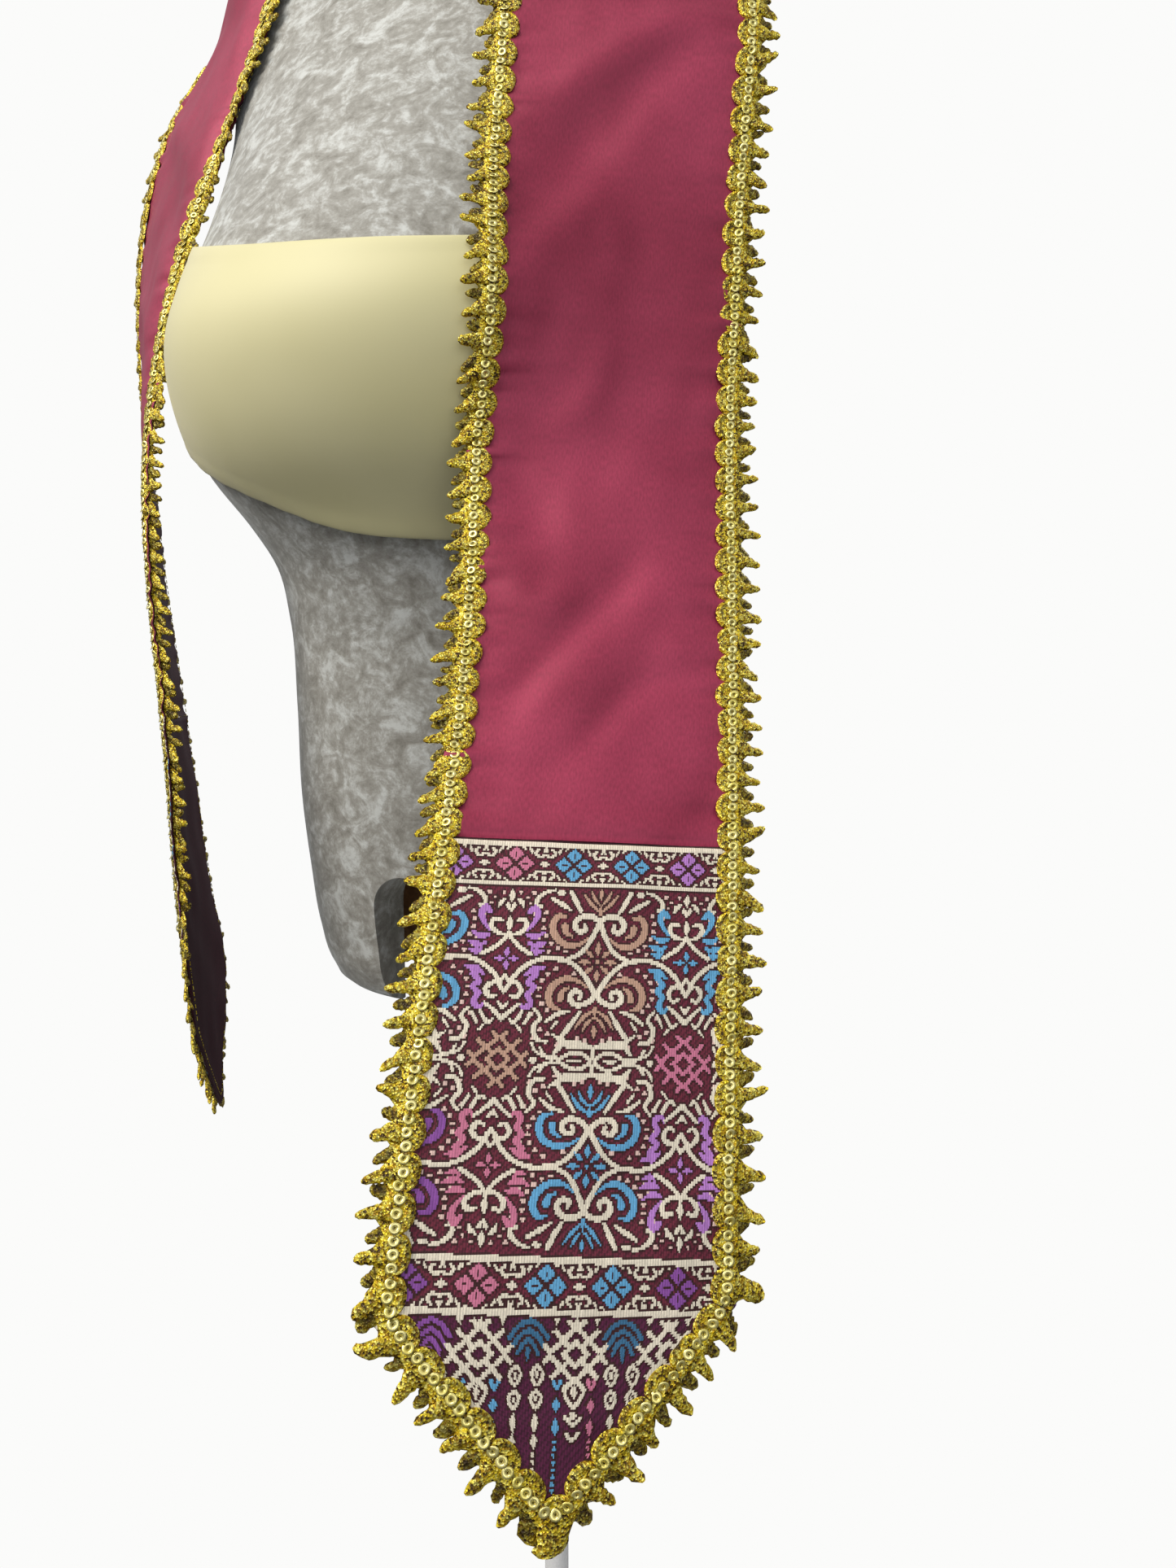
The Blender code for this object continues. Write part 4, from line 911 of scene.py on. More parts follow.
# The field: hearts on the big axis, birds beside them and frets on the axes between, mirrored both ways.
def chartField(sheet, charts, number, t, v):
    big, half = field["bigAxis"], field["halfRepeat"]
    across = np.abs((t - big + half) % (2 * half) - half)
    fromMiddle = np.abs(v - field["middleRow"])
    inField = fromMiddle < field["halfHeight"]
    upper, leftSide, outerHeart = v < field["middleRow"], t < big, np.abs(t - big) > half

    # Colour numbers by a rule, each of the two with its own colour in the upper and the lower half.
    def four(rule, oneUpper, oneLower, otherUpper, otherLower):
        one = np.where(upper, number[oneUpper], number[oneLower])
        return np.where(rule, one, np.where(upper, number[otherUpper], number[otherLower]))

    charts["heart"] = four(outerHeart, "blue", "purple", "tan", "blue")
    charts["bird"] = four(leftSide, "lilac", "pink", "blue", "lilac")
    dots = [("dot", (field["beadWidth"],), [(x, y), (x + 0.2, y)]) for x, y in beads]
    paint(sheet, across, fromMiddle, dots, charts, inField)
    paint(sheet, across, fromMiddle, bigMotif, charts, inField)
    paint(sheet, half - across, fromMiddle, smallMotif, charts, inField)
    far = fretDistance(half - across, fromMiddle, field["fretSize"], field["fretLine"])
    far = np.where(inField, far, field["farAway"])
    lay(sheet, far, np.where(leftSide, number["tan"], number["pink"]))


# The borders above and below the field: a row of diamonds in turning colours between two lines.
def chartBorders(sheet, charts, number, t, v):
    start = field["bigAxis"] + field["halfRepeat"]
    fromDiamond, index = repeatPlace(t, start, 2 * field["halfRepeat"] / border["repeats"])
    for middle, row in border["rows"]:
        fromLine = np.abs(v - middle)
        paint(sheet, fromDiamond, fromLine, borderMotif, charts, fromLine < border["motifReach"])
        stripe = np.array([number[name] for name in row])[(index + border["shift"]) % len(row)]
        lay(sheet, petalDistance(fromDiamond, fromLine), stripe)
        lay(sheet, np.abs(fromLine - border["linePlace"]) - border["lineWidth"] / 2, number["cream"])


# The end band: leaves and frets, with chains that run to dots in the point. Gives the cells it covers.
def chartEndBand(sheet, charts, number, t, v):
    down = v - endBand["start"]
    fromLeaf, index = repeatPlace(t, field["bigAxis"] + endBand["pitch"] / 2, endBand["pitch"])
    charts["leaf"] = np.where(index < -1, number["purple"], number["teal"])
    charts["chain"] = np.where(t < field["bigAxis"], number["blue"], number["pink"])
    inEnd = down > endBand["margin"]
    sheet["colour"] = np.where(inEnd, number["deep"], sheet["colour"])
    paint(sheet, fromLeaf, down, endMotif, charts, inEnd)
    dots = [(colour, (endBand["beadWidth"],), [(x, y), (x, y + 0.2)]) for colour, x, first in endBand["beads"]
            for y in np.arange(first, endBand["beadEnd"], endBand["beadPitch"])]
    paint(sheet, fromLeaf, down, dots, charts, inEnd)
    far = fretDistance(endBand["pitch"] / 2 - fromLeaf, down - endBand["fretPlace"], endBand["fretSize"],
                       endBand["fretLine"])
    far = np.where(inEnd, far, field["farAway"])
    clear = endBand["leafClear"] - np.hypot(fromLeaf * endBand["leafSquash"], down - endBand["leafMiddle"])
    lay(sheet, np.maximum(far, clear), number["cream"])
    return inEnd


# The brocade's colour and float height in cells at t across and v down from the seam. Where no shape lies the
# ground is ribbed, and every shape has an outline.
def brocadeChart(t, v):
    number = {name: k for k, name in enumerate(brocade["colours"])}
    sheet = dict(colour=np.full(t.shape, number["ground"]), far=np.full(t.shape, field["farAway"]))
    charts = {name: np.full(t.shape, k) for name, k in number.items()}
    chartField(sheet, charts, number, t, v)
    chartBorders(sheet, charts, number, t, v)
    inEnd = chartEndBand(sheet, charts, number, t, v)
    free = sheet["far"] > 0
    rib = free & ((t + brocade["ribSlope"] * v) / brocade["ribPitch"] % 1 < brocade["ribShare"])
    colour = np.where(rib, np.where(inEnd, number["deepRib"], number["groundRib"]), sheet["colour"])
    outline = free & (sheet["far"] < brocade["outlineWidth"])
    return np.where(outline, number["outline"], colour), (sheet["far"] < 0) * 1.0


# How far a panel stands off its smooth drape: slow waves, small ones along its edges, and a dip at the seam.
def brocadeRelief(drape, s, t):
    high, size = brocade["wave"]
    relief = high * waves(np.stack([s, t], -1), size, 21 + drape["side"])
    high, size = brocade["edgeWave"]
    inward = np.maximum(halfWidth(drape, s) - np.abs(t) - satin["edgeStrip"], 0)
    relief += high * waves(s[..., None], size, 31) * np.exp(-inward / satin["edgeFade"])
    return relief - ridge(s, (drape["seam"], brocade["seamDipWidth"], satin["seamDip"]))


# The numbers of a grid's border points, once round.
def borderLoop(index):
    return np.concatenate([index[0, :-1], index[:-1, -1], index[-1, :0:-1], index[:0:-1, 0]])


# The faces of a fine front grid and a back grid that is coarser by a whole number, and of a wall of
# triangles that joins that many fine edges to each coarse one.
def brocadeFaces(front, back):
    every = brocade["coarseness"]
    (rows, columns), (backRows, backColumns) = front, back
    flatFront = np.arange(rows * columns).reshape(rows, columns)
    flatBack = np.arange(backRows * backColumns).reshape(backRows, backColumns) + rows * columns
    fine, coarse = borderLoop(flatFront), borderLoop(flatBack)
    wall = np.stack([np.roll(fine, -1), fine, coarse[np.arange(len(fine)) // every]], -1)
    corner = np.stack([np.roll(fine, -every)[::every], coarse, np.roll(coarse, -1)], -1)
    backFaces = gridFaces(backRows, backColumns)[:, ::-1] + rows * columns
    return [gridFaces(rows, columns), backFaces, wall, corner]


# Each face's colour: the chart's, a little lighter or darker from cell to cell and from thread to thread. The
# faces that don't show take the first colour.
def brocadeColours(chart, hidden):
    palette = np.array([toLinear(hexColour) for hexColour in brocade["colours"].values()])
    draw = np.random.default_rng(brocade["seed"])
    tone = draw.normal(1.0, brocade["cellTone"], chart.shape)
    tone *= draw.normal(1.0, brocade["threadTone"], chart.shape[1])[None]
    perFace = palette[chart.ravel()] * tone.reshape(-1, 1)
    return np.clip(np.concatenate([perFace, np.tile(palette[0], (hidden, 1))]), 0, 1)


# A brocade panel: a front with one quad a woven cell, raised where a float lies, over a smooth back.
def brocadePanel(sideName):
    drape = drapes[sideName]
    every = brocade["coarseness"]
    start = drape["seam"] + stole["seamGap"] / 2
    end = drape["length"] - stole["tipCut"]
    rows = every * int(round((end - start) / brocade["cellAlong"] / every)) + 1
    columns = every * int(round(stole["width"] / brocade["cellAcross"] / every)) + 1
    s = np.linspace(start, end, rows)
    share = np.linspace(-1, 1, columns)
    t = halfWidth(drape, s)[:, None] * share[None]
    s = np.repeat(s[:, None], columns, 1)
    cellS = (s[:-1, :-1] + s[1:, 1:]) / 2
    cellT = (t[:-1, :-1] + t[1:, 1:]) / 2
    wovenT = (np.floor(cellT / brocade["cellAcross"]) + 0.5) * brocade["cellAcross"]
    skewed = ramp(cellS, start + field["riseFrom"], start + field["riseTo"])
    rise = field["lowerRise"] * np.clip(0.5 - wovenT / stole["width"], 0, 1) * skewed
    chart, raised = brocadeChart(wovenT, cellS - drape["seam"] + rise)
    height = np.zeros(s.shape)
    height[:-1, :-1] = raised
    height[1:, 1:] = np.maximum(height[1:, 1:], raised)
    relief = brocadeRelief(drape, s, t)
    rounding = np.sqrt(np.clip(1 - np.abs(share) ** brocade["roundingPower"], thinnest, 1))
    halfThick = brocade["halfThickness"] * rounding[None]
    down = s + seamShift(t) * (1 - ramp(s, start, start + brocade["seamRun"]))
    front = clothPoint(drape, down, t, relief + halfThick + height * brocade["floatHeight"])
    back = clothPoint(drape, down, t, relief - halfThick)[::every, ::every]
    faces = brocadeFaces(front.shape[:2], back.shape[:2])
    points = np.concatenate([front.reshape(-1, 3), back.reshape(-1, 3)])
    piece = makePiece(f"brocade_panel_{sideName}", points, faces, [brocadeFace, shadedBackFace])
    total = len(piece.data.polygons)
    setFaceColours(piece, brocadeColours(chart, total - chart.size), "threadColour")
    piece.data.polygons.foreach_set("material_index", (np.arange(total) >= chart.size).astype(np.int32))
    flat = np.stack([t, s], -1) / uvUnit
    setUv(piece, np.concatenate([flat.reshape(-1, 2), flat[::every, ::every].reshape(-1, 2)]))
    return finishPiece(piece, "brocade", f"brocade_{sideName}")


brocadePieces = {key: brocadePanel(key) for key in drapes}
print("brocade panels made")


# Gold trim: a lace band with a row of scallops inside, a picot for each outside, and sequins along its middle

lace = dict(
    repeat=12.8, sequinInset=4.2, cornerRounding=7, faceHeight=1.15, sizes=(0.9, 1.08), endDraw=0.16,
    endDrawFrom=260.0, endDrawTo=120.0, scallopReach=6.9, scallopLeast=2.2, bandOutside=4.2, bumpReach=3.6,
    bumpWidth=0.27, bumpPower=2.4, ringsPerRepeat=14, pointsAcross=13, bandHeight=0.75, edgePower=8,
    rimCord=(0.84, 0.13, 0.85), innerCord=(0.42, 0.14, 0.5), groove=(0.64, 0.1, 0.75),
    outerCord=(2.2, 1.3, 0.45), middleThreadShade=(0.0, 0.75, 0.85), cordEnd=0.4, roughness=(0.14, 1.9),
    underSunk=0.05, underCrown=0.02, underShade=0.6, foldAngle=46.0, foldStart=400.0, foldFull=520.0,
    foldEaseFrom=90.0, foldEaseTo=10.0, leans=dict(inner=14.0, point=0.0, outer=-8.0))


# The sequin line down the inner edge, round the point and up the outer edge, in flat (s, t), rounded by a
# moving mean. The cuts are the numbers of the repeats where the corners of the point lie.
def trimRoute(drape):
    half, inset, point = stole["width"] / 2, lace["sequinInset"], stole["pointHeight"]
    edge = half - inset
    tip = drape["length"] - inset * math.hypot(half, point) / half
    corner = tip - point * edge / half
    turns = np.array([(0.0, -edge), (corner, -edge), (tip, 0.0), (corner, edge), (0.0, edge)])
    marks = np.concatenate([[0], np.cumsum(np.linalg.norm(np.diff(turns, axis=0), axis=1))])
    length = np.arange(0, marks[-1], 1.0)
    line = np.stack([np.interp(length, marks, turns[:, k]) for k in range(2)], -1)
    reach = lace["cornerRounding"]
    padded = np.concatenate([np.repeat(line[:1], reach, 0), line, np.repeat(line[-1:], reach, 0)])
    window = np.ones(2 * reach + 1) / (2 * reach + 1)
    line = np.stack([np.convolve(padded[:, k], window, mode="valid") for k in range(2)], -1)
    along = unit(np.gradient(line, axis=0))
    solid = middleLayer(drape, line[:, 0], line[:, 1])
    measured = np.concatenate([[0], np.cumsum(np.linalg.norm(np.diff(solid, axis=0), axis=1))])
    repeats = int(round(measured[-1] / lace["repeat"]))
    repeat = measured[-1] / repeats
    corners = [int(round(measured[int(marks[k])] / repeat)) for k in (1, 3)]
    return dict(drape=drape, line=line, outward=np.stack([along[:, 1], -along[:, 0]], -1), measured=measured,
                repeat=repeat, cuts=[0, *corners, repeats], folded=float(drape["side"] < 0))


# A point of the trim: along the sequin line, away from it outwards, and up from the cloth's face. Where the
# trim is folded round the cloth's edge, what lies outside the sequin line turns down about it, by more the
# further down it is, and lies flat again before the point.
def trimPoint(route, along, away, height):
    fold = np.radians(lace["foldAngle"]) * ramp(along, lace["foldStart"], lace["foldFull"]) * route["folded"]
    corner = route["cuts"][1] * route["repeat"]
    fold = fold * (1 - ramp(along, corner - lace["foldEaseFrom"], corner - lace["foldEaseTo"]))
    outside = np.maximum(away, 0)
    away, height = away + outside * (np.cos(fold) - 1), height - outside * np.sin(fold)
    marks = np.arange(len(route["line"]))
    index = np.interp(along, route["measured"], marks)
    at = np.stack([np.interp(index, marks, route["line"][:, k]) for k in range(2)], -1)
    out = unit(np.stack([np.interp(index, marks, route["outward"][:, k]) for k in range(2)], -1))
    flat = at + out * away[..., None]
    return clothPoint(route["drape"], flat[..., 0], flat[..., 1], lace["faceHeight"] + height)


# The lace band: each ring runs from the scallop's rim to the picot's bump. A scallop is half a disc, with a
# bead of cord near its rim, a groove, and a second cord inside it.
def laceBand(route, first, last, seed):
    repeat = route["repeat"]
    n = lace["ringsPerRepeat"]
    phase = (1 - np.cos(np.linspace(0, 1, n, endpoint=False) * math.pi)) / 2
    marks = np.append((np.arange(first, last)[:, None] + phase[None]).ravel(), last) * repeat
    marks[0] += stole["seamGap"] / 2
    marks[-1] -= stole["seamGap"] / 2
    part = (marks / repeat) % 1.0
    draw = np.random.default_rng(seed)
    sizes = draw.uniform(*lace["sizes"], last - first + 1)
    size = np.interp(marks / repeat, np.arange(first, last + 1), sizes)
    above, below = route["cuts"][1] * repeat, route["cuts"][2] * repeat
    entering = ramp(marks, above - lace["endDrawFrom"], above - lace["endDrawTo"])
    leaving = ramp(marks, below + lace["endDrawTo"], below + lace["endDrawFrom"])
    size -= lace["endDraw"] * entering * (1 - leaving)
    least = lace["scallopLeast"]
    disc = np.sqrt(np.clip(1 - (2 * part - 1) ** 2, 0, 1))
    inside = (least + (lace["scallopReach"] - least) * disc) * size
    bump = np.exp(-(np.abs(part - 0.5) / lace["bumpWidth"]) ** lace["bumpPower"])
    outside = lace["bandOutside"] + lace["bumpReach"] * size * bump
    share = np.linspace(0, 1, lace["pointsAcross"])
    away = -inside[:, None] + (inside + outside)[:, None] * share[None]
    along = np.repeat(marks[:, None], len(share), 1)
    middle = (np.floor(marks / repeat) + 0.5)[:, None] * repeat
    cordEnd = lace["cordEnd"]
    radius = np.hypot((along - middle), np.minimum(away + cordEnd, 0)) / lace["scallopReach"]
    bead = ridge(radius, lace["rimCord"]) + ridge(radius, lace["innerCord"])
    bead = np.where(away < cordEnd, bead, ridge(away, lace["outerCord"]))
    depth, grain = lace["roughness"]
    rough = depth * waves(np.stack([along, away], -1), grain, seed, count=7)
    closing = np.clip(1 - (2 * share - 1) ** lace["edgePower"], 0, 1)[None]
    height = (lace["bandHeight"] + bead + rough) * np.sqrt(closing)
    top = trimPoint(route, along, away, height)
    under = lace["underCrown"] * closing - lace["underSunk"] + 0 * along
    under = trimPoint(route, along, away, under)
    # Painted shade: the band darkens in the groove between its cords and all over its underside, and along
    # the sequin line, where brown thread also shows.
    groove = np.maximum(ridge(radius, lace["groove"]) * (away < 0), ridge(away, lace["middleThreadShade"]))
    shade = np.concatenate([groove, np.full_like(groove, lace["underShade"])], 1)
    return np.concatenate([top, under[:, ::-1]], 1), shade


picot = dict(
    rings=9, sides=8, start=2.4, lift=0.9, lengths=(9.2, 11.6), places=(0.44, 0.56), leanSpread=11.0,
    bend=0.9, droop=(0.2, 0.9), droopPower=1.5, width=3.9, thickness=2.4, widths=(0.85, 1.15), lumps=0.2,
    along=[0, 0.25, 0.5, 0.85, 0.95, 1], across=[2.2, 1.6, 1.2, 0.9, 0.68, 0.3], floor=-0.9, shade=0.6,
    thickAlong=[0, 0.85, 1], thickShare=[0.8, 1.0, 0.35], shadeFrom=0.12, shadeTo=0.85, shadeCosine=0.5,
    backLength=0.72, backDrop=1.1, backDropMore=1.2, backFloor=-2.4, backShade=0.45, backEnd=0.25)


# Picots: flattened tubes that leave the bump, lean along the trim and end round; each has its own lean,
# length, droop and lumps. A back row stands between the front ones, lower, shorter and in their shade.
def picots(route, first, last, seed, leaning, back=False):
    draw = np.random.default_rng(seed)
    count = last - first
    rings, sides = picot["rings"], picot["sides"]
    middle = (np.arange(first, last) + draw.uniform(*picot["places"], count)) * route["repeat"]
    if back:
        middle = np.minimum(middle + 0.5 * route["repeat"], (last - picot["backEnd"]) * route["repeat"])
    lean = np.radians(draw.normal(leaning, picot["leanSpread"], count))
    length = draw.uniform(*picot["lengths"], count) * (picot["backLength"] if back else 1)
    droop = draw.normal(*picot["droop"], count)
    run = np.linspace(0, 1, rings)
    bend = draw.normal(0, picot["bend"], count)[:, None] * run**2
    along = middle[:, None] + np.sin(lean)[:, None] * length[:, None] * run + bend
    away = picot["start"] + (np.cos(lean) * length)[:, None] * run
    height = picot["lift"] + droop[:, None] * run ** picot["droopPower"]
    if back:
        height = height - picot["backDrop"] - picot["backDropMore"] * run
    profile = np.interp(run, picot["along"], picot["across"])
    wide = picot["width"] / 2 * profile[None] * draw.uniform(*picot["widths"], count)[:, None]
    thick = picot["thickness"] / 2 * np.interp(run, picot["thickAlong"], picot["thickShare"])[None]
    angle = (np.arange(sides) + 0.5) * 2 * math.pi / sides
    lump = 1 + picot["lumps"] * draw.uniform(-1, 1, (count, rings, sides))
    sideways, upward = np.cos(angle) * lump, np.sin(angle) * lump
    along = along[..., None] - np.cos(lean)[:, None, None] * sideways * wide[..., None]
    away = away[..., None] + np.sin(lean)[:, None, None] * sideways * wide[..., None]
    lowest = picot["backFloor"] * run[:, None] if back else picot["floor"]
    height = np.maximum(height[..., None] + upward * thick[..., None], lowest)
    # Painted shade: each picot darkens at random along its top and underside, and the back row darkens all
    # over.
    shaded = (run > picot["shadeFrom"]) & (run < picot["shadeTo"])
    between = (np.abs(np.cos(angle)) < picot["shadeCosine"]) * shaded[:, None]
    shade = picot["shade"] * between * draw.uniform(0, 1, (count, rings, sides))
    return trimPoint(route, along, away, height), shade + (picot["backShade"] if back else 0)


sequin = dict(
    each=3, sides=12, radii=[1.95, 1.25, 0.28, 1.25, 1.95], rises=[0.14, 0.05, 0.0, -0.08, 0.02], height=1.45,
    strayAlong=0.15, strayAway=0.22, tilt=0.16, lean=0.12)


# Sequins: small dished rings, each a closed turned profile of five points, tilted a little at random.
def sequinRings(route, first, last, seed):
    draw = np.random.default_rng(seed)
    count = (last - first) * sequin["each"]
    along = (first + (np.arange(count) + 0.5) / sequin["each"]) * route["repeat"]
    along = along + draw.normal(0, sequin["strayAlong"], count)
    away = draw.normal(0, sequin["strayAway"], count)
    angle = np.arange(sequin["sides"]) * 2 * math.pi / sequin["sides"]
    tiltAlong, tiltAway = draw.normal(0, sequin["tilt"], (2, count)) + np.array([[sequin["lean"]], [0.0]])
    x = (np.array(sequin["radii"])[:, None] * np.cos(angle))[None]
    y = (np.array(sequin["radii"])[:, None] * np.sin(angle))[None]
    height = sequin["height"] + np.array(sequin["rises"])[None, :, None] + x * tiltAlong[:, None, None]
    height = height + y * tiltAway[:, None, None]
    return trimPoint(route, along[:, None, None] + x, away[:, None, None] + y, height)


# Quads round a torus of points: copies x profile x sides, closed both ways.
def torusFaces(copies, profile, sides):
    row, column = np.meshgrid(np.arange(profile), np.arange(sides), indexing="ij")
    nextRow, nextColumn = (row + 1) % profile, (column + 1) % sides
    one = np.stack([row * sides + column, row * sides + nextColumn, nextRow * sides + nextColumn,
                    nextRow * sides + column], -1).reshape(-1, 4)
    return (one[None] + (np.arange(copies) * profile * sides)[:, None, None]).reshape(-1, 4)


stitch = dict(pitch=3.4, half=1.15, thickness=0.24, sides=6, stray=0.12, sunk=0.05,
              along=[-1.0, -0.8, 0.8, 1.0], across=[0.4, 1.0, 1.0, 0.4])


# Stitches that hold the trim, seen on the lining side: short round-ended bars along the sequin line.
def backStitches(route, first, last, seed):
    draw = np.random.default_rng(seed)
    pitch, sides = stitch["pitch"], stitch["sides"]
    middle = np.arange(first * route["repeat"] + pitch, last * route["repeat"] - pitch / 2, pitch)
    away = draw.normal(0, stitch["stray"], len(middle))
    run = np.array(stitch["along"])[None, :, None]
    girth = stitch["thickness"] * np.array(stitch["across"])[None, :, None]
    angle = (np.arange(sides) + 0.5) * 2 * math.pi / sides
    along = middle[:, None, None] + run * stitch["half"] + 0 * angle
    aside = away[:, None, None] + girth * np.cos(angle)
    height = -2 * lace["faceHeight"] - stitch["sunk"] + girth * np.sin(angle) + 0 * along
    return trimPoint(route, along, aside, height)


trimPieces = dict(left=[], right=[])
for sideName, drape in drapes.items():
    route = trimRoute(drape)
    seed = 100 if sideName == "left" else 200
    for part, first, last in zip(("inner", "point", "outer"), route["cuts"][:-1], route["cuts"][1:]):
        seed += 10
        leaning = lace["leans"][part]
        band, bandPaintedShade = laceBand(route, first, last, seed)
        fingers, fingerPaintedShade = picots(route, first, last, seed + 1, leaning)
        behind, behindPaintedShade = picots(route, first, last, seed + 4, leaning, back=True)
        fingers = np.concatenate([fingers, behind])
        faces = [loftFaces(1, *band.shape[:2]), loftFaces(*fingers.shape[:3]) + band[..., 0].size]
        points = np.concatenate([band.reshape(-1, 3), fingers.reshape(-1, 3)])
        piece = makePiece(f"gold_lace_{sideName}_{part}", points, faces, [lurex])
        # The depth attribute is painted shade: it darkens the cord in its grooves, under the band and on the
        # picots.
        depth = np.concatenate([bandPaintedShade.ravel(), fingerPaintedShade.ravel(), behindPaintedShade.ravel()])
        setVertexNumber(piece, depth, "depth")
        finishPiece(piece, "gold_trim", f"trim_{sideName}_{part}")
        rings = sequinRings(route, first, last, seed + 2)
        sequins = makePiece(f"sequins_{sideName}_{part}", rings, [torusFaces(*rings.shape[:3])], [sequinFilm])
        finishPiece(sequins, "gold_trim")
        bars = backStitches(route, first, last, seed + 3)
        stitches = makePiece(f"trim_stitches_{sideName}_{part}", bars, [loftFaces(*bars.shape[:3])], [lurex])
        setVertexNumber(stitches, np.zeros(bars[..., 0].size), "depth")
        finishPiece(stitches, "gold_trim")
        trimPieces[sideName] += [piece, sequins, stitches]
print("gold trim made")


# Dress form

# Cuts the second shape out of the first, whose cut faces take the second's material.
def cutAway(piece, cutter):
    cut = piece.modifiers.new("cut", "BOOLEAN")
    cut.object, cut.operation, cut.material_mode = cutter, "DIFFERENCE", "TRANSFER"
    bpy.context.view_layer.update()
    evaluated = piece.evaluated_get(bpy.context.evaluated_depsgraph_get())
    mesh = bpy.data.meshes.new_from_object(evaluated)
    piece.modifiers.clear()
    piece.data = mesh
    bpy.data.objects.remove(cutter)


# The torso: superellipse rings up the form, its lower end hollowed behind a round-topped arch.
def velvetTorso():
    low, high, ends, run = formHeights[0], formHeights[-1], np.array(form["endRounding"]), form["endRun"]
    z = np.concatenate([low + ends, np.linspace(low + run, high - run, form["rows"]), high - ends[::-1]])
    angle = np.arange(form["sides"]) * 2 * math.pi / form["sides"]
    rings = formPoint(angle[None], z[:, None])
    torso = makePiece("velvet_torso", rings, [loftFaces(1, len(z), form["sides"])], [velvetPile])
    midX, midY = np.mean(form["hollowX"]), np.mean(form["hollowY"])
    halfX, halfY = np.ptp(form["hollowX"]) / 2, np.ptp(form["hollowY"]) / 2
    sides, below = form["hollowSides"], low - form["below"]
    turn = np.arange(sides) * 2 * math.pi / sides
    across, ahead = (np.sign(f(turn)) * np.abs(f(turn)) ** form["hollowPower"] for f in (np.cos, np.sin))
    levels = [(below, 1.0)] + [(form["hollowTop"] + drop, k) for drop, k in form["hollowRounding"]]
    hollow = [np.stack([midX + across * halfX * k, midY + ahead * halfY * k, np.full(sides, float(z))], -1)
              for z, k in levels]
    faces = [loftFaces(1, len(levels), sides)]
    cutAway(torso, makePiece("hollow_cutter", np.array(hollow), faces, [boardBrown]))
    half, spring = form["archHalfWidth"], form["archTop"] - form["archHalfWidth"]
    turn = np.linspace(0, math.pi, form["archSteps"])
    outline = np.concatenate([[(-half, below), (half, below)],
                              np.stack([half * np.cos(turn), spring + half * np.sin(turn)], -1)])
    arch = [np.stack([form["archMiddle"] + outline[:, 0], np.full(len(outline), y), outline[:, 1]], -1)
            for y in (form["archFront"], form["hollowY"][0] + form["archDepth"])]
    cutAway(torso, makePiece("arch_cutter", np.array(arch), [loftFaces(1, 2, len(outline))], [velvetPile]))
    torso.data.shade_smooth()
    torso.data.set_sharp_from_angle(angle=math.radians(form["sharpAngle"]))
    return finishPiece(torso, "grey_velvet", "form_torso")


torsoPiece = velvetTorso()
print("torso made:", [material.name for material in torsoPiece.data.materials])


cover = dict(
    edges=[(-84, 1280, 1190), (-60, 1256, 1152), (-40, 1237, 1128), (-20, 1221, 1109), (0, 1211, 1093),
           (20, 1209, 1088), (40, 1213, 1089), (60, 1225, 1100), (84, 1250, 1140)],
    halfAngle=84.0, endRounding=8.0, thickness=2.2, clearance=1.3, columns=110, rows=40, leastHeight=0.01,
    hem=0.35, hemFrom=7.5, hemTo=6.0, drag=0.25, dragCount=46, dragFrom=26.0, dragTo=4.0, rounding=1.6,
    leastRounding=0.02, faceGap=0.1)


# The bust cover: a shell that follows the form between smooth upper and lower edges read from the table of
# angle, top and low, with rounded ends, a folded hem along each edge and a few drag lines under the bust.
def bustCover():
    sweep = np.radians(cover["halfAngle"]) * np.sin(np.linspace(-1, 1, cover["columns"]) * math.pi / 2)
    share = np.sin(np.linspace(-1, 1, cover["rows"]) * math.pi / 2)
    around = np.abs(sweep / sweep[-1])
    edges = np.array(cover["edges"], float)
    upper, lower = smoothThrough(np.degrees(sweep), edges[:, 0], edges[:, 1:]).T
    half = (upper - lower) / 2 * np.sqrt(np.maximum(1 - around ** cover["endRounding"], cover["leastHeight"]))
    z = ((upper + lower) / 2)[None] + half[None] * share[:, None]
    angle = np.broadcast_to(sweep[None], z.shape)
    base, normal = formPoint(angle, z), formNormal(angle, z)
    fromEdge = half[None] * (1 - np.abs(share[:, None]))
    hem = cover["hem"] * ramp(-fromEdge, -cover["hemFrom"], -cover["hemTo"])
    drag = cover["drag"] * np.sin(angle * cover["dragCount"])
    drag = drag * ramp(lower[None] - z, -cover["dragFrom"], -cover["dragTo"])
    rounding = np.sqrt(np.clip(1 - ramp(-fromEdge, -cover["rounding"], 0.0) ** 2, cover["leastRounding"], 1))
    halfThick = cover["thickness"] / 2
    middle = cover["clearance"] + halfThick
    outside = base + normal * (middle + (halfThick + hem + drag) * rounding)[..., None]
    inside = base + normal * (middle - (halfThick - cover["faceGap"]) * rounding)[..., None]
    rings = np.concatenate([outside, inside[::-1]], 0).transpose(1, 0, 2)
    faces = [loftFaces(1, cover["columns"], 2 * cover["rows"])]
    finishPiece(makePiece("jersey_bust_cover", rings, faces, [padJersey]), "cream_jersey", "form_bust_cover")


bustCover()


# Stand

stand = dict(baseRadius=150.0, baseHeight=14.0, baseRounding=4.0, poleRadius=8.0, poleX=46.0, poleY=26.0,
             socketRadius=12.0, socketHeight=12.0, gap=0.3, chamfer=0.8, sharpAngle=40.0, baseFall=0.4,
             rim=[(3.0, 0.0), (1.0, 0.4), (1.0, 1.8), (0.0, 2.2)],
             face=[(120.0, 0.2), (90.0, 0.1), (20.0, 0.0), (2.0, 0.0)],
             socketEdge=[(2.2, 0.0), (0.6, 0.5), (0.0, 1.8)])


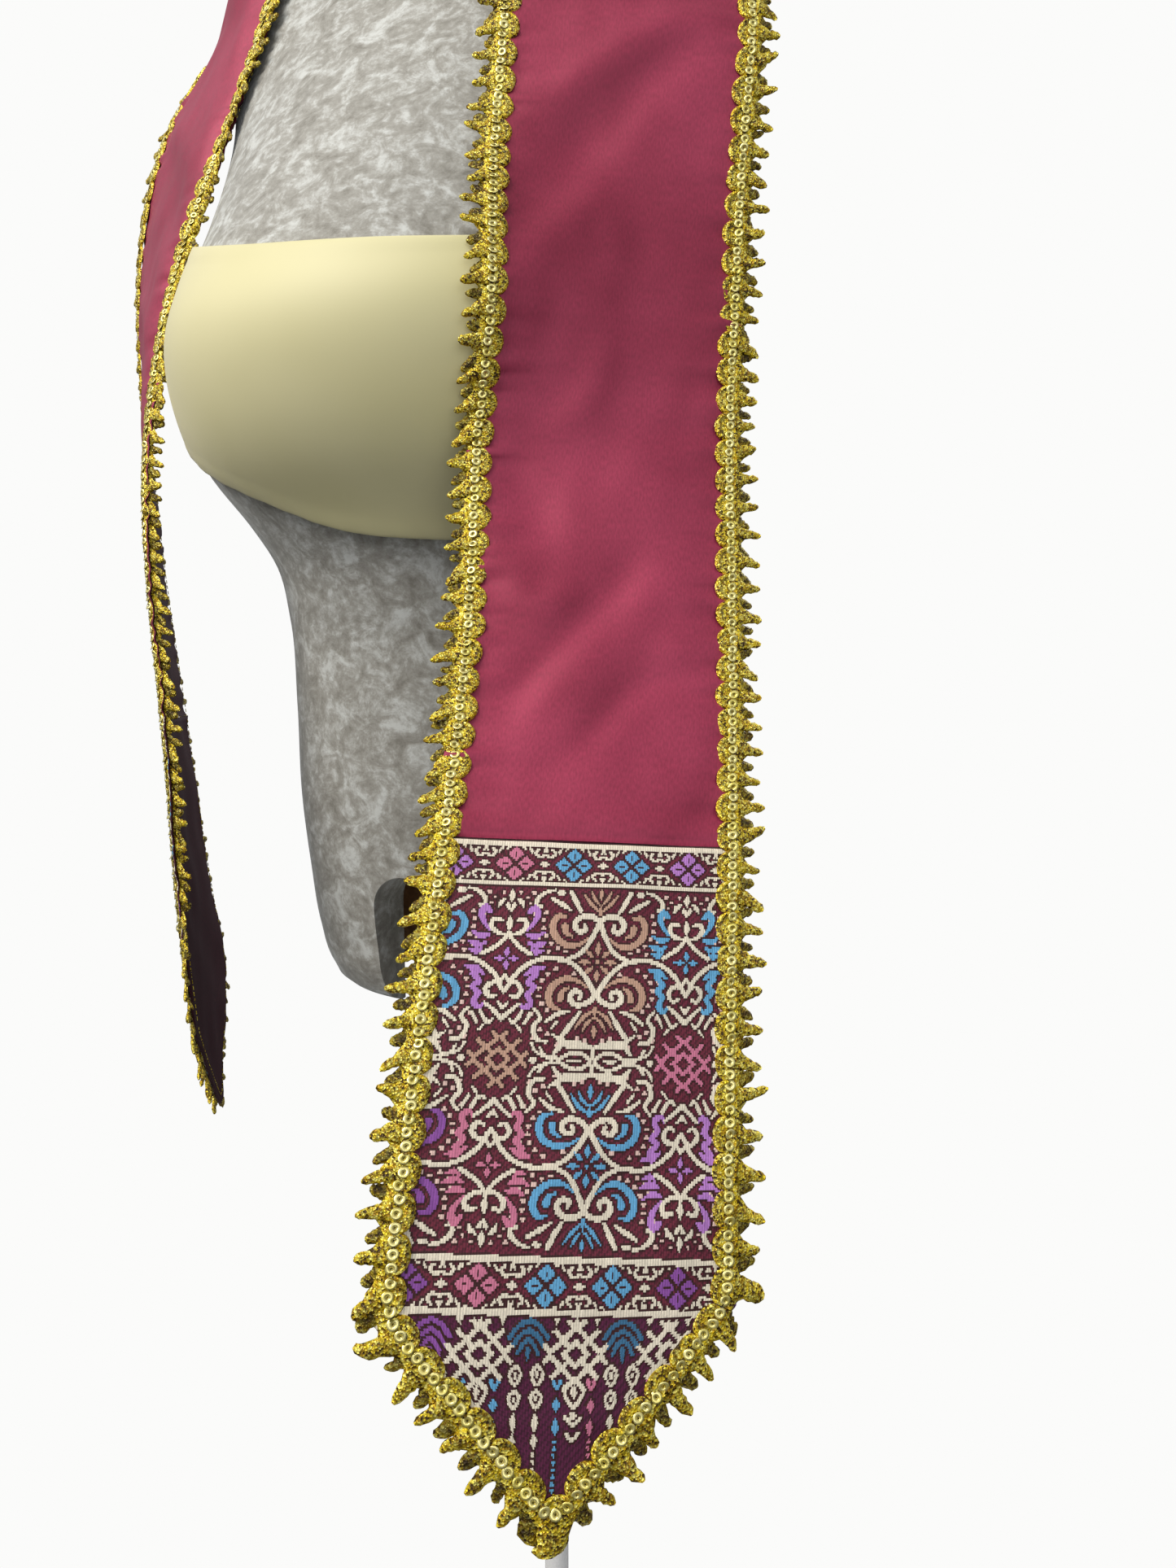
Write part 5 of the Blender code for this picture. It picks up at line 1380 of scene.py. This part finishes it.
# A turned body of painted steel: a profile of (radius, height) swept round an upright axis in even steps.
def turned(name, node, profile, x, y, sides):
    angle = np.arange(sides) * 2 * math.pi / sides
    rings = [np.stack([x + r * np.cos(angle), y + r * np.sin(angle), np.full(sides, float(z))], -1)
             for r, z in profile]
    piece = makePiece(name, np.array(rings), [loftFaces(1, len(rings), sides)], [paintedSteel])
    piece.data.set_sharp_from_angle(angle=math.radians(stand["sharpAngle"]))
    finishPiece(piece, "painted_steel", node)


# The base has a small step under its rim, a rounded upper edge and a face that falls slightly outwards. The
# pole is chamfered at both ends and the socket at its lower end.
def standPieces():
    r, h, size, gap = stand["baseRadius"], stand["baseHeight"], stand["baseRounding"], stand["gap"]
    turn = np.radians(np.linspace(0, 90, 6))
    base = [(r - inset, z) for inset, z in stand["rim"]]
    shoulder = h - size - stand["baseFall"]
    base += [(r - size + size * math.cos(k), shoulder + size * math.sin(k)) for k in turn]
    base += [(at, h - drop) for at, drop in stand["face"]]
    turned("stand_base_plate", "stand_base", base, 0, 0, 128)
    bottom = formHeights[0]
    top = bottom - 2 * gap - stand["socketHeight"]
    low, thin, cut = h + gap, stand["poleRadius"], stand["chamfer"]
    pole = [(thin - 1, low), (thin, low + cut), (thin, top - cut), (thin - 1, top)]
    turned("stand_pole_tube", "stand_pole", pole, stand["poleX"], stand["poleY"], 40)
    wide, start = stand["socketRadius"], top + gap
    socket = [(wide - inset, start + rise) for inset, rise in stand["socketEdge"]] + [(wide, bottom - gap)]
    turned("stand_socket_ring", "stand_socket", socket, stand["poleX"], stand["poleY"], 48)


standPieces()
print("form and stand made")


# Floor, light and camera

ground = dict(rings=[2.0, 200.0, 396.0, 400.0], sides=96, thickness=12.0, drop=0.2)
turn = np.arange(ground["sides"]) * 2 * math.pi / ground["sides"]
levels = [(r, 0.0) for r in ground["rings"]] + [(r, -ground["thickness"]) for r in ground["rings"][::-1]]
floorRings = [np.stack([r * np.cos(turn), r * np.sin(turn), np.full(len(turn), z - ground["drop"])], -1)
              for r, z in levels]
faces = [loftFaces(1, len(floorRings), len(turn))]
makePiece("studio_floor", np.array(floorRings), faces, [floorPaper])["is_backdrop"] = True


# A soft box aimed from one point to another, sizes in metres, power in watts.
def softBox(name, place, aim, width, height, power, hexColour):
    light = bpy.data.lights.new(name, "AREA")
    light.shape, light.size, light.size_y = "RECTANGLE", width, height
    light.energy = power
    light.color = toLinear(hexColour)
    lamp = bpy.data.objects.new(name, light)
    bpy.context.scene.collection.objects.link(lamp)
    lamp.location = place
    lamp.rotation_mode = "QUATERNION"
    lamp.rotation_quaternion = (Vector(aim) - Vector(place)).to_track_quat("-Z", "Y")


softBox("key light", (-0.8, -1.5, 2.7), (0.05, -0.1, 1.15), 1.7, 1.7, 52, "#FFFAF4")
softBox("front fill", (1.5, -1.7, 1.5), (0.1, -0.15, 1.1), 1.4, 1.8, 8, "#F4F7FF")
softBox("back light", (0.6, 2.2, 2.2), (0.0, 0.0, 1.1), 1.6, 1.2, 16, "#FFFFFF")

world = bpy.data.worlds.new("pale studio")
bpy.context.scene.world = world
world.use_nodes = True
worldTree = world.node_tree
worldTree.nodes.clear()
# The camera sees an even pale wall. What lights the object is dim below and brighter above.
seen = addNode(worldTree, "ShaderNodeBackground", {"Color": (*toLinear("#FBFBFA"), 1), "Strength": 1.0})
direction = addNode(worldTree, "ShaderNodeTexCoord").outputs["Generated"]
upwards = addNode(worldTree, "ShaderNodeSeparateXYZ", {"Vector": direction}).outputs["Z"]
dome = addNode(worldTree, "ShaderNodeMapRange", {
    "Value": upwards, "From Min": -0.3, "From Max": 0.5, "To Min": 0.1, "To Max": 0.6})
given = addNode(worldTree, "ShaderNodeBackground", {
    "Color": (*toLinear("#F4F5F8"), 1), "Strength": dome.outputs["Result"]})
ray = addNode(worldTree, "ShaderNodeLightPath")
either = addNode(worldTree, "ShaderNodeMixShader", {
    0: ray.outputs["Is Camera Ray"], 1: given.outputs["Background"], 2: seen.outputs["Background"]})
addNode(worldTree, "ShaderNodeOutputWorld", {"Surface": either.outputs["Shader"]})
bpy.context.scene.view_settings.view_transform = "Standard"

view = dict(focalPixels=1300.0, imageHeight=1927.0, sensor=36.0, pitchDegrees=8.0, turnDegrees=24.0,
            right=74.0, back=640.0, height=1040.0)


# The camera's axes: right is turned from +X, forward is level and square to it, tipped down by the pitch.
def makeCamera():
    turnAngle, pitch = math.radians(view["turnDegrees"]), math.radians(view["pitchDegrees"])
    right = np.array([math.cos(turnAngle), math.sin(turnAngle), 0])
    level = np.array([-math.sin(turnAngle), math.cos(turnAngle), 0])
    up = np.array([0, 0, 1.0])
    forward = level * math.cos(pitch) - up * math.sin(pitch)
    upward = up * math.cos(pitch) + level * math.sin(pitch)
    place = (view["right"] * right - view["back"] * level + view["height"] * up) / 1000
    data = bpy.data.cameras.new("photo camera")
    data.sensor_width = view["sensor"]
    data.lens = view["focalPixels"] / view["imageHeight"] * data.sensor_width
    data.clip_start, data.clip_end = 0.01, 100.0
    camera = bpy.data.objects.new("photo camera", data)
    bpy.context.scene.collection.objects.link(camera)
    camera.matrix_world = Matrix([[*row] for row in np.vstack([
        np.column_stack([right, upward, -forward, place]), [0, 0, 0, 1]])])
    bpy.context.scene.camera = camera


makeCamera()

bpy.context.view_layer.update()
meshes = [piece.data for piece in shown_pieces()]
print("triangles:", sum(len(mesh.loops) - 2 * len(mesh.polygons) for mesh in meshes))
